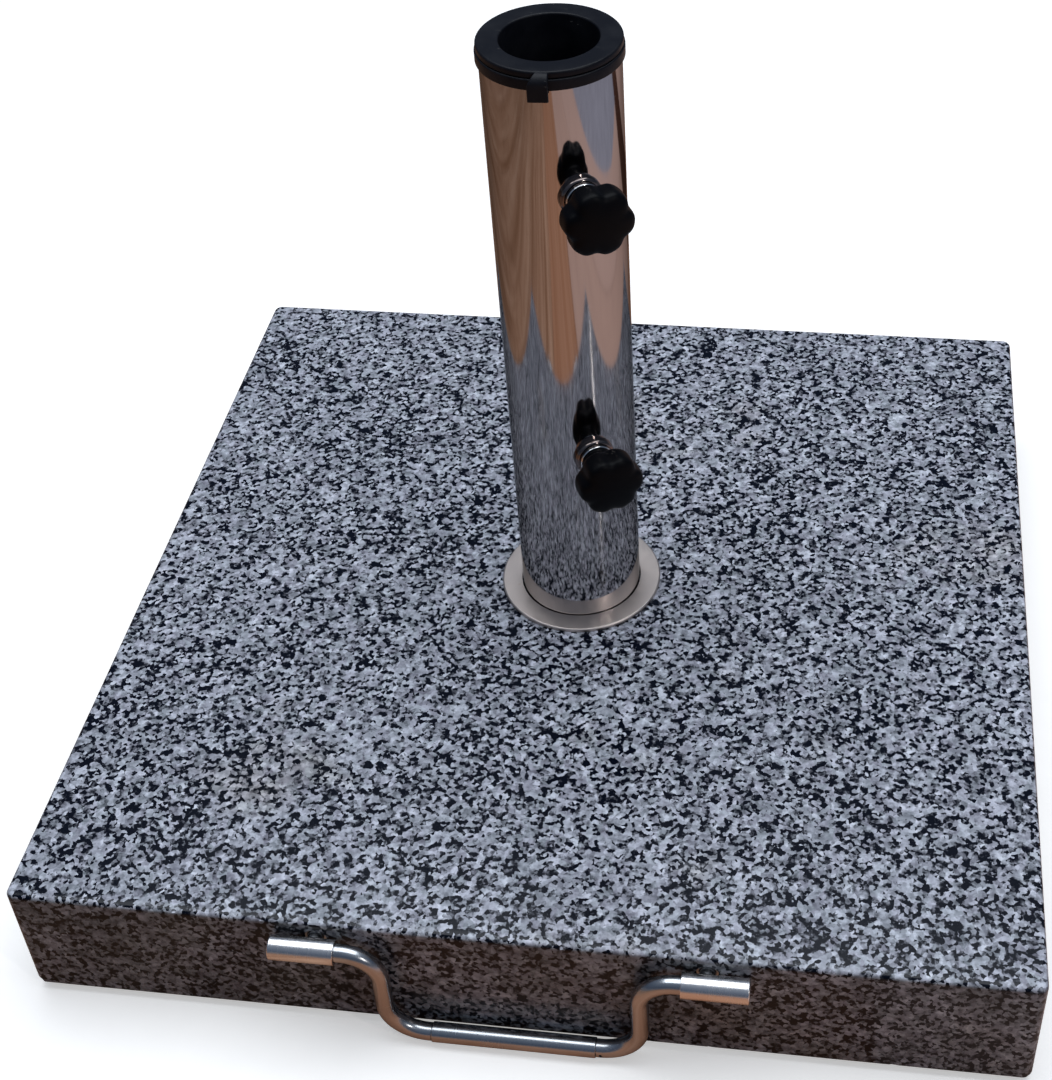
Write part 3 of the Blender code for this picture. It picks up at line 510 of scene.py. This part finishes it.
def feet(look):
    """Four rubber feet, each with a dimple under it."""
    for end in ("front", "rear"):
        for side in ("left", "right"):
            node = f"foot_{end}_{side}"
            low, high = ends(node)
            radius, top = (high.x - low.x) / 2, high.z
            corners = [(0, 0.7 * MM, 0), (3 * MM, 0.7 * MM, 0.3 * MM), (3.6 * MM, 0, 0.3 * MM)]
            corners += [
                (radius - 1.6 * MM, 0, 0.5 * MM), (radius - 0.7 * MM, 1.2 * MM, 0.6 * MM),
                (radius, top, 0.3 * MM), (0, top, 0),
            ]
            place = Matrix.Translation(((low.x + high.x) / 2, (low.y + high.y) / 2, 0))
            foot = turned(corners, 72, closed=False, steps=3)
            piece(f"rubber_{node}", foot, look, "base", [node], place)


def clamp_matrix(which):
    """Local Z out along the screw from the tube's axis, local Y up."""
    joint = JOINTS[f"knob_turn_{which}"]
    return aligned(joint["pos_m"], joint["axis"])


def tube(look):
    """The pole tube, with a hole for each clamp screw."""
    low, high = ends("pole_tube")
    radius, bore_edge = high.x, 0.35 * MM
    band = 6 * MM
    heights = [JOINTS[f"knob_turn_{which}"]["pos_m"][2] for which in ("lower", "upper")]
    outside = [(radius, z + side * band, 0) for z in heights for side in (-1, 1)]
    corners = [(radius - TUBE_WALL, low.z, 0), (radius, low.z, 0), *outside, (radius, high.z, bore_edge)]
    corners += [(radius - TUBE_WALL, high.z, bore_edge)]
    corners += [(radius - TUBE_WALL, z, 0) for _, z, _ in reversed(outside)]
    shape = turned(corners, 256)
    holes = [
        moved(rod(THREAD_HOLE, radius - TUBE_WALL - 5 * MM, radius + 5 * MM), clamp_matrix(which))
        for which in ("lower", "upper")
    ]
    shape = combined(shape, joined(*holes), "DIFFERENCE")
    piece("polished_tube", shape, look, "base", ["pole_tube"])


def cover(look):
    """The cover flange: a thin pressed disc whose rim rolls down to the stone."""
    low, high = ends("cover_flange")
    outer, hole = high.x, ends("pole_tube")[1].x + 0.4 * MM
    corners = [
        (hole, low.z, 0), (outer, low.z, 0.15 * MM), (outer, high.z - 0.5 * MM, 0.3 * MM),
        (outer - 0.6 * MM, high.z, 0.4 * MM), (hole, high.z, 0.25 * MM),
    ]
    piece("cover_disc", turned(corners, 220, steps=7), look, "base", ["cover_flange"])


def ribs(reach, low, high):
    """Upright ribs round a collar, as one shape."""
    made = []
    for i in range(RIBS):
        rib = block((COLLAR - 1 * MM, -RIB_HALF, low), (reach, RIB_HALF, high))
        made.append(moved(rib, Matrix.Rotation((i + 0.5) * math.tau / RIBS, 4, "Z")))
    return joined(*made)


def cap(look):
    """Rim ring, then the reducer sleeve with its ribs and pull tab."""
    low, high = ends("rim_ring")
    tube_radius = ends("pole_tube")[1].x
    tube_top = ends("pole_tube")[1].z
    inner = tube_radius - TUBE_WALL - 1.5 * MM
    skirt = high.z - 5 * MM
    corners = [
        (inner, low.z, 0.3 * MM), (tube_radius - TUBE_WALL - GAP, low.z, 0.3 * MM),
        (tube_radius - TUBE_WALL - GAP, tube_top + GAP, 0), (tube_radius + GAP, tube_top + GAP, 0),
        (tube_radius + GAP, skirt, 0.2 * MM), (high.x, skirt, 0.35 * MM),
        (high.x, high.z, 0.7 * MM), (inner, high.z, 0.3 * MM),
    ]
    piece("rim_ring_moulded", turned(corners), look, "base", ["rim_ring"])

    low, high = ends("reducer_sleeve")
    flange, rib_reach = 30.8 * MM, 26.4 * MM
    seat = ends("rim_ring")[1].z + GAP
    corners = [
        (POLE_HOLE, low.z, 0.4 * MM), (COLLAR, low.z, 0.9 * MM), (COLLAR, seat, 0.6 * MM),
        (flange, seat, 0.5 * MM), (flange, high.z, 1.0 * MM), (POLE_HOLE, high.z, 0.9 * MM),
    ]
    sleeve = combined(turned(corners), ribs(rib_reach, low.z + 4 * MM, seat + 1 * MM), "UNION")
    sleeve = combined(sleeve, pull_tab(flange, high.z), "UNION")
    piece("reducer_moulded", sleeve, look, "reducer", ["reducer_sleeve"])


def pull_tab(flange, top):
    """The tab leaves the flange's edge, slopes outwards, spreads and turns straight down."""
    thick, direction, edge = 1.6 * MM, math.radians(2), 0.35 * MM
    root, spread = (-1.6 * MM, 3.2 * MM), (-5.2 * MM, 3.4 * MM)
    line = [  # a point on its outer face, and how far it has spread there
        (Vector((flange - 2.5 * MM, 0, top - 0.25 * MM)), 0.0),
        (Vector((flange + 0.8 * MM, 0, top - 0.3 * MM)), 0.25),
        (Vector((flange + 3.3 * MM, 0, top - 2.0 * MM)), 0.7),
        (Vector((flange + 4.3 * MM, 0, top - 4.6 * MM)), 1.0),
        (Vector((flange + 4.5 * MM, 0, top - 11.2 * MM)), 1.0),
    ]
    smooth = []
    for i in range(len(line) - 1):
        (a, _), (b, start), (c, end), (d, _) = (
            line[max(i - 1, 0)], line[i], line[i + 1], line[min(i + 2, len(line) - 1)]
        )
        for step in range(5):
            t = step / 5
            square, cube = 2 * a - 5 * b + 4 * c - d, 3 * b - a - 3 * c + d
            curve = 0.5 * (2 * b + (c - a) * t + square * t * t + cube * t ** 3)
            smooth.append((curve, start + (end - start) * t))
    smooth.append(line[-1])
    rings = []
    for i, (point, share) in enumerate(smooth):
        along = (smooth[min(i + 1, len(smooth) - 1)][0] - smooth[max(i - 1, 0)][0]).normalized()
        inward = Vector((along.z, 0, -along.x))
        left, right = (a + (b - a) * share for a, b in zip(root, spread))
        section = [
            (0, right - edge), (edge, right), (thick - edge, right), (thick, right - edge),
            (thick, left + edge), (thick - edge, left), (edge, left), (0, left + edge),
        ]
        rings.append([point + inward * depth + Vector((0, across, 0)) for depth, across in section])
    return moved(lofted(rings), Matrix.Rotation(direction - math.pi / 2, 4, "Z"))


def centring(look):
    """The ring low in the tube that holds the pole's foot."""
    low, high = ends("centring_ring")
    outer = high.x
    corners = [
        (POLE_HOLE, low.z, 0.3 * MM), (outer, low.z, 0.3 * MM), (outer, low.z + 2 * MM, 0.3 * MM),
        (COLLAR, low.z + 2 * MM, 0.4 * MM), (COLLAR, high.z, 0.4 * MM),
        (POLE_HOLE + 1.2 * MM, high.z, 0.3 * MM), (POLE_HOLE, high.z - 1.5 * MM, 0.4 * MM),
    ]
    around = ribs(outer, low.z + 1 * MM, high.z - 2 * MM)
    shape = combined(turned(corners, 120, steps=3), around, "UNION")
    piece("centring_moulded", shape, look, "base", ["centring_ring"])


def boss_end():
    """How far the boss reaches from the tube's axis: the knob's ring stands one gap beyond it."""
    direction = clamp_matrix("lower").to_3x3() @ Vector((0, 0, 1))
    points = frame["nodes"]["knob_ring_lower"].data.vertices
    return min(point.co.xy.dot(direction.xy) for point in points) - GAP


def boss(which, look):
    """A low turned boss with a round shoulder, its foot shaped to the tube."""
    end, tube_radius = boss_end(), ends("pole_tube")[1].x
    radius, start = 9.6 * MM, tube_radius - 6 * MM
    corners = [
        (THREAD_HOLE, start, 0), (radius, start, 0), (radius, end, 1.8 * MM), (THREAD_HOLE, end, 0.3 * MM),
    ]
    matrix = clamp_matrix(which)
    height = matrix.translation.z
    seat = moved(rod(tube_radius + 0.05 * MM, height - 15 * MM, height + 15 * MM, 256), matrix.inverted())
    shape = combined(turned(corners, 96), seat, "DIFFERENCE")
    piece(f"boss_{which}_turned", shape, look, "base", [f"boss_{which}"], matrix)


def thread(radius, depth, pitch, low, high, sides=32, rows_a_turn=6):
    """A solid threaded bar along Z."""
    rings = []
    rows = int((high - low) / pitch * rows_a_turn)
    for row in range(rows + 1):
        height = low + (high - low) * row / rows
        fade = min(1.0, 3 * min(row, rows - row) / rows_a_turn)
        ring = []
        for i in range(sides):
            phase = (height / pitch - i / sides) % 1
            sunk = depth * fade * (1 - abs(2 * phase - 1))
            angle = i / sides * math.tau
            reach = radius - sunk
            ring.append(Vector((reach * math.cos(angle), reach * math.sin(angle), height)))
        rings.append(ring)
    return lofted(rings)


def knob_shape(back, phase):
    """A round neck, then a head of six lobes with narrow notches, a straight side and a domed face."""
    radius, depth, neck = 15.5 * MM, 15.3 * MM, 7.7 * MM
    notch_depth, lobes, points = 1.8 * MM, 6, 288
    layers = [  # height from the head's back as a share of its depth, share of the radius, how lobed
        (-0.495, 0.470, 0.0), (-0.48, 0.485, 0.0), (-0.46, 0.490, 0.0), (-0.16, 0.490, 0.0),
        (-0.08, 0.505, 0.0), (-0.03, 0.560, 0.10), (0.00, 0.700, 0.35), (0.02, 0.800, 0.60),
        (0.07, 0.880, 0.85), (0.16, 0.950, 1.0), (0.25, 0.985, 1.0), (0.36, 1.000, 1.0),
        (0.62, 1.000, 1.0), (0.72, 0.990, 1.0), (0.785, 0.970, 1.0), (0.83, 0.935, 1.0),
        (0.86, 0.890, 1.0), (0.885, 0.840, 0.95), (0.91, 0.76, 0.75), (0.935, 0.64, 0.45),
        (0.96, 0.50, 0.2), (0.98, 0.34, 0.05), (0.992, 0.18, 0.0), (1.0, 0.02, 0.0),
    ]
    deepest = layers[0][0]
    rings = []
    for share_deep, share, lobed in layers:
        out = neck + share_deep * depth if share_deep > deepest else 0.0
        ring = []
        for i in range(points):
            angle = i / points * math.tau
            notch = math.cos(lobes / 2 * (angle - phase)) ** 4
            reach = share * (radius - notch_depth * lobed * notch)
            ring.append(Vector((reach * math.cos(angle), reach * math.sin(angle), back + out)))
        rings.append(ring)
    return lofted(rings)


def clamp(which, phase, dark, steel, chrome, plastic, nylon):
    """Boss, pad, screw, ring and knob, all on the screw's axis."""
    boss(which, dark)
    matrix = clamp_matrix(which)
    pad_tip, pad_long, pad_radius, spigot = 18 * MM, 4 * MM, 3.8 * MM, 2 * MM
    socket = spigot + GAP
    corners = [
        (0, pad_tip, 0), (pad_radius, pad_tip, 0.7 * MM), (pad_radius, pad_tip + pad_long, 0.3 * MM),
        (socket, pad_tip + pad_long, 0.2 * MM), (socket, pad_tip + 1.3 * MM, 0), (0, pad_tip + 1.3 * MM, 0),
    ]
    pad = turned(corners, 64, closed=False, steps=4)
    piece(f"pad_{which}_moulded", pad, nylon, f"pad_{which}", [f"pressure_pad_{which}"], matrix)

    ring_back, ring_radius = boss_end() + GAP, 7.9 * MM
    back = ring_back + 1.3 * MM + GAP
    shoulder = pad_tip + pad_long + GAP
    screw_end = back + 15 * MM
    stud = thread(4 * MM, 0.7 * MM, 1.25 * MM, shoulder, screw_end)
    tip = rod(spigot, pad_tip + 1.6 * MM, shoulder + 1 * MM, 32)
    stud = combined(stud, tip, "UNION")
    body = f"knob_{which}"
    piece(f"stud_{which}", stud, steel, body, [f"clamp_screw_{which}"], matrix, crease=40)
    corners = [
        (THREAD_HOLE, ring_back, 0.2 * MM), (ring_radius, ring_back, 0.3 * MM),
        (ring_radius, back - GAP, 0.5 * MM), (THREAD_HOLE, back - GAP, 0.2 * MM),
    ]
    ring = turned(corners, 128)
    piece(f"ring_{which}_bright", ring, chrome, body, [f"knob_ring_{which}"], matrix)
    bore = rod(THREAD_HOLE, back - 3 * MM, screw_end + 0.5 * MM)
    knob = combined(knob_shape(back, phase), bore, "DIFFERENCE")
    node = f"star_knob_{which}"
    piece(f"knob_{which}_moulded", knob, plastic, body, [node], matrix, crease=40)


def arc(centre_x, centre_z, radius, start, end, steps):
    """Points of an arc in the XZ plane, from one angle in degrees to another."""
    angles = [math.radians(start + (end - start) * i / steps) for i in range(steps + 1)]
    return [Vector((centre_x + radius * math.cos(a), 0, centre_z + radius * math.sin(a))) for a in angles]


def handle(sleeve_steel, steel):
    """Sleeves and posts on the slab, and the bail that swings in them."""
    pivot = Vector(JOINTS["handle_swing"]["pos_m"])
    rod_radius = 4 * MM
    bore = rod_radius + GAP
    grip_low, grip_high = ends("handle_grip")
    grip_radius = (grip_high.y - grip_low.y) / 2
    drop = pivot.z - (grip_low.z + grip_high.z) / 2
    grip_half = grip_high.x
    leg_x = 56.5 * MM
    upper_bend, lower_bend = 16 * MM, 18 * MM
    for side, sign in (("left", -1), ("right", 1)):
        low, high = ends(f"handle_sleeve_{side}")
        inner, outer = sorted((abs(low.x), abs(high.x)))
        radius = (high.z - low.z) / 2
        end_wall = 2 * MM
        corners = [
            (bore, inner, 0.15 * MM), (radius, inner, 0.3 * MM), (radius, outer, 0.7 * MM), (0, outer, 0),
            (0, outer - end_wall, 0), (bore, outer - end_wall, 0),
        ]
        sleeve = turned(corners, 96)
        outwards = aligned(pivot, (sign, 0, 0))
        node = f"handle_sleeve_{side}"
        piece(f"sleeve_{side}_turned", sleeve, sleeve_steel, "base", [node], outwards)

        near, far = ends(f"handle_post_{side}")
        middle = (near + far) / 2
        post_radius = (far.x - near.x) / 2
        along_y = aligned((middle.x, far.y, middle.z), (0, -1, 0))
        post = rod(post_radius, 0, far.y - pivot.y, 64)
        saddle = moved(rod(radius + 0.1 * MM, -8 * MM, 8 * MM, 96), along_y.inverted() @ aligned(
            (middle.x, pivot.y, pivot.z), (1, 0, 0)
        ))
        post = combined(post, saddle, "DIFFERENCE")
        piece(f"post_{side}_turned", post, steel, "base", [f"handle_post_{side}"], along_y)

        stub = outer - end_wall - 1 * MM
        upper = arc(leg_x + upper_bend, -upper_bend, upper_bend, 90, 180, 20)
        lower = arc(leg_x - lower_bend, lower_bend - drop, lower_bend, 0, -90, 20)
        path = [Vector((stub, 0, 0)), *upper, *lower, Vector((grip_half + GAP, 0, -drop))]
        bar = swept(path, rod_radius)
        to_grip = Matrix.Translation((0, 0, -drop)) @ Matrix.Rotation(math.pi / 2, 4, "Y")
        spigot = moved(rod(3 * MM, grip_half - 10 * MM, grip_half + 3 * MM), to_grip)
        bar = combined(bar, spigot, "UNION")
        if side == "right":
            drain = rod(0.8 * MM, rod_radius - 2 * MM, rod_radius + 2 * MM, 24)
            facing = Matrix.Rotation(math.pi / 2, 4, "X")
            at_drain = Matrix.Translation((grip_half + 2.3 * MM, 0, -drop)) @ facing
            bar = combined(bar, moved(drain, at_drain), "DIFFERENCE")
        bar = moved(bar, Matrix.Scale(sign, 4, (1, 0, 0)))
        at_pivot = Matrix.Translation(pivot)
        piece(f"elbow_{side}_bent", bar, steel, "handle", [f"handle_elbow_{side}"], at_pivot)
    inside = 3.3 * MM
    corners = [
        (inside, -grip_half, 0), (grip_radius, -grip_half, 0.35 * MM),
        (grip_radius, grip_half, 0.35 * MM), (inside, grip_half, 0),
    ]
    grip = turned(corners, 96)
    place = aligned((0, pivot.y, pivot.z - drop), (1, 0, 0))
    piece("grip_turned", grip, steel, "handle", ["handle_grip"], place)


def rollers(steel, plastic, rubber):
    """The tyre, with two grooves, and the hub of each roller."""
    for side, sign in (("left", -1), ("right", 1)):
        joint = JOINTS[f"roller_spin_{side}"]
        place = aligned(joint["pos_m"], (sign, 0, 0))
        low, high = ends(f"roller_tyre_{side}")
        radius, half = (high.z - low.z) / 2, (high.x - low.x) / 2
        hub_radius, bore, rim_half = 18.6 * MM, 4.3 * MM, 8.5 * MM
        shoulder = half - 3.2 * MM
        corners = [
            (hub_radius + GAP, -rim_half, 0), (radius - 2.4 * MM, -half, 0.8 * MM),
            (radius, -shoulder, 1.5 * MM),
        ]
        for groove in (-3 * MM, 3 * MM):
            corners += [
                (radius, groove - 0.8 * MM, 0.25 * MM), (radius - 0.9 * MM, groove - 0.5 * MM, 0.2 * MM),
                (radius - 0.9 * MM, groove + 0.5 * MM, 0.2 * MM), (radius, groove + 0.8 * MM, 0.25 * MM),
            ]
        corners += [
            (radius, shoulder, 1.5 * MM), (radius - 2.4 * MM, half, 0.8 * MM),
            (hub_radius + GAP, rim_half, 0),
        ]
        body = f"roller_{side}"
        tyre = turned(corners, 120, steps=3)
        piece(f"tyre_{side}_moulded", tyre, rubber, body, [f"roller_tyre_{side}"], place)
        web, neck, rim = 2.5 * MM, 8 * MM, 15 * MM
        corners = [
            (bore, -half, 0.3 * MM), (neck, -half, 0.6 * MM), (neck, -web, 0.8 * MM), (rim, -web, 0.8 * MM),
            (rim, -rim_half, 0.4 * MM), (hub_radius, -rim_half, 0.3 * MM), (hub_radius, rim_half, 0.3 * MM),
            (rim, rim_half, 0.4 * MM), (rim, web, 0.8 * MM), (neck, web, 0.8 * MM), (neck, half, 0.6 * MM),
            (bore, half, 0.3 * MM),
        ]
        hub = turned(corners, 96, steps=3)
        piece(f"hub_{side}_moulded", hub, plastic, body, [f"roller_hub_{side}"], place)


def carried_over(zinc):
    """The small steel pieces keep their CAD shape, with slightly broken edges."""
    names = ["foot_plate", "fixing_nut", "plate_washer", "fixing_bolt"]
    for side in ("left", "right"):
        names += [f"handle_anchor_{side}", f"roller_bracket_{side}", f"roller_axle_{side}"]
        names += [f"axle_cap_{side}", f"bracket_screw_{side}_1", f"bracket_screw_{side}_2"]
    for name in names:
        node = frame["nodes"][name]
        node.data.materials.clear()
        node.data.materials.append(zinc)
        weld = node.modifiers.new("weld", "WELD")
        weld.merge_threshold = 0.00001
        bevel = node.modifiers.new("edges", "BEVEL")
        bevel.width = 0.25 * MM
        bevel.segments = 2
        bevel.limit_method = "ANGLE"
        bevel.angle_limit = math.radians(40)


def bung(look):
    """The plug that closes the recess under the slab."""
    low, high = ends("recess_bung")
    radius = high.x
    corners = [
        (0, low.z + 0.8 * MM, 0), (8 * MM, low.z + 0.8 * MM, 0.3 * MM), (9 * MM, low.z, 0.3 * MM),
        (radius, low.z, 0.6 * MM), (radius, high.z, 0.3 * MM), (radius - 2 * MM, high.z, 0.3 * MM),
        (radius - 2 * MM, low.z + 2 * MM, 0.4 * MM), (0, low.z + 2 * MM, 0),
    ]
    piece("bung_moulded", turned(corners, 96, closed=False), look, "base", ["recess_bung"])


# ---------------------------------------------------------------- stage


def place_camera():
    forward = Vector((
        math.sin(CAMERA_TURN) * math.cos(CAMERA_DOWN), math.cos(CAMERA_TURN) * math.cos(CAMERA_DOWN),
        -math.sin(CAMERA_DOWN),
    ))
    level = aligned(CAMERA_PLACE, -forward)
    camera = bpy.data.objects.new("camera", bpy.data.cameras.new("camera"))
    camera.data.lens = CAMERA_LENS
    camera.data.shift_x, camera.data.shift_y = CAMERA_SHIFT
    camera.matrix_world = level @ Matrix.Rotation(CAMERA_ROLL, 4, "Z")
    bpy.context.scene.collection.objects.link(camera)
    bpy.context.scene.camera = camera


def floor_look():
    """Pale to the eye; what the steel mirrors is a deck of brown boards, with paving at its right."""
    material, tree, shader, place = start_material("floor")
    tree.nodes.remove(shader)
    board_width, first_edge = 0.24, -0.08
    parts = add(tree, "SeparateXYZ", {0: place})
    east, north = parts.outputs[0], parts.outputs[1]
    across = math_node(tree, "DIVIDE", math_node(tree, "SUBTRACT", east, first_edge), board_width)
    number = math_node(tree, "FLOOR", across)
    own = add(tree, "TexWhiteNoise", {"W": number}, noise_dimensions="1D").outputs[0]
    shifted = add(tree, "CombineXYZ", {0: east, 1: north, 2: number}).outputs[0]
    bands = noise(tree, stretched(tree, shifted, (30, 1.3, 3)), 1.0, 3.0, 0.6)
    wood = ramp(tree, bands, [
        (0.32, (0.33, 0.160, 0.085)), (0.45, (0.47, 0.250, 0.150)), (0.55, (0.57, 0.320, 0.200)),
        (0.68, (0.70, 0.430, 0.285)),
    ])
    hills = noise(tree, stretched(tree, shifted, (7, 1.6, 3)), 1.0, 2.0, 0.5)
    bent = math_node(tree, "MULTIPLY", hills, 16.0)
    rings = math_node(tree, "ABSOLUTE", math_node(tree, "SUBTRACT", math_node(tree, "FRACT", bent), 0.5))
    fibre = noise(tree, stretched(tree, shifted, (150, 4.0, 3)), 1.0, 4.0, 0.65)
    streak = math_node(
        tree, "MULTIPLY", ramp(tree, rings, [(0.36, 0.0), (0.47, 0.55)]),
        ramp(tree, fibre, [(0.35, 1.0), (0.60, 0.25)]),
    )
    wood = mixed(tree, streak, wood, (0.22, 0.095, 0.045))
    wood = mixed(tree, ramp(tree, fibre, [(0.35, 0.35), (0.50, 0.0)]), wood, (0.30, 0.14, 0.075))
    rightwards = ramp(tree, math_node(tree, "ADD", east, 0.5), [(0.0, 0.70), (0.42, 1.0)])
    wood = mixed(tree, 1.0, wood, rightwards, "MULTIPLY")
    right = math_node(tree, "MULTIPLY", math_node(tree, "GREATER_THAN", number, 0.5), 0.75)
    pink = math_node(tree, "MULTIPLY_ADD", own, 0.2, right)
    wood = mixed(tree, pink, wood, (0.74, 0.49, 0.40))
    middle = math_node(tree, "COMPARE", number, 0.0, 0.1)
    wood = mixed(tree, math_node(tree, "MULTIPLY", middle, 0.55), wood, (0.55, 0.235, 0.12))
    edge = math_node(tree, "ABSOLUTE", math_node(tree, "SUBTRACT", math_node(tree, "FRACT", across), 0.5))
    seam = ramp(tree, edge, [(0.490, 0.0), (0.497, 0.5)])
    wood = mixed(tree, seam, wood, (0.10, 0.05, 0.03))

    nearest, level = 0.53, 0.19
    ahead = math_node(tree, "MULTIPLY", math_node(tree, "SUBTRACT", level, north), 0.14)
    behind = math_node(tree, "MULTIPLY", math_node(tree, "SUBTRACT", north, level), 0.37)
    border = math_node(tree, "ADD", math_node(tree, "MAXIMUM", ahead, behind), nearest)
    beyond = math_node(tree, "SUBTRACT", east, border)
    cement = noise(tree, stretched(tree, place, (7, 30, 3)), 1.0, 3.0, 0.6)
    paving = mixed(tree, cement, (0.27, 0.26, 0.30), (0.56, 0.54, 0.61))
    ground = mixed(tree, ramp(tree, beyond, [(0.0, 0.0), (0.012, 1.0)]), wood, paving)
    right_back = math_node(tree, "GREATER_THAN", east, 0.1)
    rail = ramp(tree, math_node(tree, "SUBTRACT", north, 0.40), [
        (0.0, 0.0), (0.01, 1.0), (0.13, 1.0), (0.14, 0.0),
    ])
    ground = mixed(tree, math_node(tree, "MULTIPLY", rail, right_back), ground, (0.10, 0.045, 0.03))
    mirrored = add(tree, "BsdfDiffuse", {"Color": ground}).outputs[0]
    speckle = noise(tree, place, 90, 3.0, 0.6)
    pale = ramp(tree, speckle, [(0.3, (0.90, 0.88, 0.86)), (0.7, (0.93, 0.91, 0.89))])
    seen = add(tree, "AddShader", {
        0: add(tree, "BsdfDiffuse", {"Color": pale}).outputs[0],
        1: add(tree, "Emission", {"Color": (1, 0.99, 0.97, 1), "Strength": 0.42}).outputs[0],
    }).outputs[0]
    is_camera = add(tree, "LightPath").outputs["Is Camera Ray"]
    out = add(tree, "MixShader", {0: is_camera, 1: mirrored, 2: seen}).outputs[0]
    tree.links.new(out, tree.nodes["Material Output"].inputs["Surface"])
    return material


def make_stage():
    floor_shape = bmesh.new()
    bmesh.ops.create_grid(floor_shape, x_segments=8, y_segments=8, size=6)
    mesh = bpy.data.meshes.new("floor")
    floor_shape.to_mesh(mesh)
    floor_shape.free()
    mesh.materials.append(floor_look())
    floor = bpy.data.objects.new("floor", mesh)
    floor.location.z = -0.2 * MM
    bpy.context.scene.collection.objects.link(floor)

    lights = [
        ("overhead", (0.0, 0.3, 2.4), (0, 0.1, 0), (2.6, 2.0), 52, (0.90, 0.95, 1.0)),
        ("window", (2.13, -1.59, 1.85), (0.2, -0.15, 0.07), (0.05, 0.55), 9.0, (1.0, 0.97, 0.95)),
    ]
    for name, place, target, size, power, color in lights:
        data = bpy.data.lights.new(name, "AREA")
        data.shape = "RECTANGLE"
        data.size, data.size_y = size
        data.energy = power
        data.color = color
        light = bpy.data.objects.new(name, data)
        turn = (Vector(target) - Vector(place)).to_track_quat("-Z", "Y")
        light.matrix_world = Matrix.Translation(place) @ turn.to_matrix().to_4x4()
        bpy.context.scene.collection.objects.link(light)

    world = bpy.data.worlds.new("studio")
    world.use_nodes = True
    tree = world.node_tree
    up = add(tree, "SeparateXYZ", {0: add(tree, "TexCoord").outputs["Generated"]}).outputs[2]
    sky = ramp(tree, math_node(tree, "MULTIPLY_ADD", up, 0.5, 0.5), [
        (0.0, (0.30, 0.26, 0.24)), (0.5, (0.34, 0.36, 0.40)),
        (0.62, (0.10, 0.14, 0.22)), (1.0, (0.34, 0.42, 0.55)),
    ])
    tree.links.new(sky, tree.nodes["Background"].inputs["Color"])
    tree.nodes["Background"].inputs["Strength"].default_value = 0.55
    backdrop = add(tree, "Background", {"Color": (0.93, 0.935, 0.94, 1), "Strength": 1.0}).outputs[0]
    is_camera = add(tree, "LightPath").outputs["Is Camera Ray"]
    sky_light = tree.nodes["Background"].outputs[0]
    shown = add(tree, "MixShader", {0: is_camera, 1: sky_light, 2: backdrop}).outputs[0]
    tree.links.new(shown, tree.nodes["World Output"].inputs["Surface"])
    bpy.context.scene.world = world
    bpy.context.scene.view_settings.view_transform = "Standard"


def main():
    place_camera()
    make_stage()

    stone = granite_look()
    mirror = steel_look("mirror_steel", (0.52, 0.49, 0.485), 0.075, (500, 500, 6), 0.0015 * MM, 0.4, 0.35)
    # Painted reflection: the boss steel is darkened and browned to stand in for the dark brown surroundings
    # it mirrors.
    dark = steel_look("boss_steel", (0.20, 0.165, 0.155), 0.13, (300, 300, 300), 0.001 * MM, 0.5)
    satin = steel_look("satin_steel", (0.86, 0.83, 0.82), 0.25, (60, 60, 900), 0.002 * MM, 0.5)
    bail = steel_look("bail_steel", (0.50, 0.51, 0.53), 0.24, (60, 60, 900), 0.002 * MM, 0.6)
    disc = steel_look("disc_steel", (0.66, 0.57, 0.52), 0.42, (200, 200, 900), 0.002 * MM, 0.7)
    zinc = steel_look("zinc_steel", (0.55, 0.55, 0.56), 0.42, (160, 160, 160), 0.01 * MM, 0.6)
    chrome = steel_look("bright_chrome", (0.85, 0.84, 0.83), 0.07, (300, 300, 300), 0.001 * MM)
    black = plastic_look("black_plastic", (0.0035, 0.004, 0.007), 0.42, 0.02 * MM, 0.04, 0.8, 0.17)
    knob_black = plastic_look("knob_plastic", (0.0006, 0.0007, 0.0016), 0.44, 0.02 * MM, 0.001, 0.0, 0.10)
    white = plastic_look("nylon", (0.72, 0.71, 0.67), 0.48, 0.01 * MM, 0.15)
    rubber = plastic_look("foot_rubber", (0.02, 0.02, 0.021), 0.75, 0.03 * MM, 0.25)
    tyre = plastic_look("tyre_rubber", (0.018, 0.018, 0.019), 0.70, 0.03 * MM, 0.30)

    slab(stone)
    feet(rubber)
    tube(mirror)
    cover(disc)
    cap(black)
    centring(black)
    bung(black)
    clamp("upper", math.radians(80), dark, satin, chrome, knob_black, white)
    clamp("lower", math.radians(89), dark, satin, chrome, knob_black, white)
    handle(satin, bail)
    rollers(zinc, black, tyre)
    carried_over(zinc)


main()
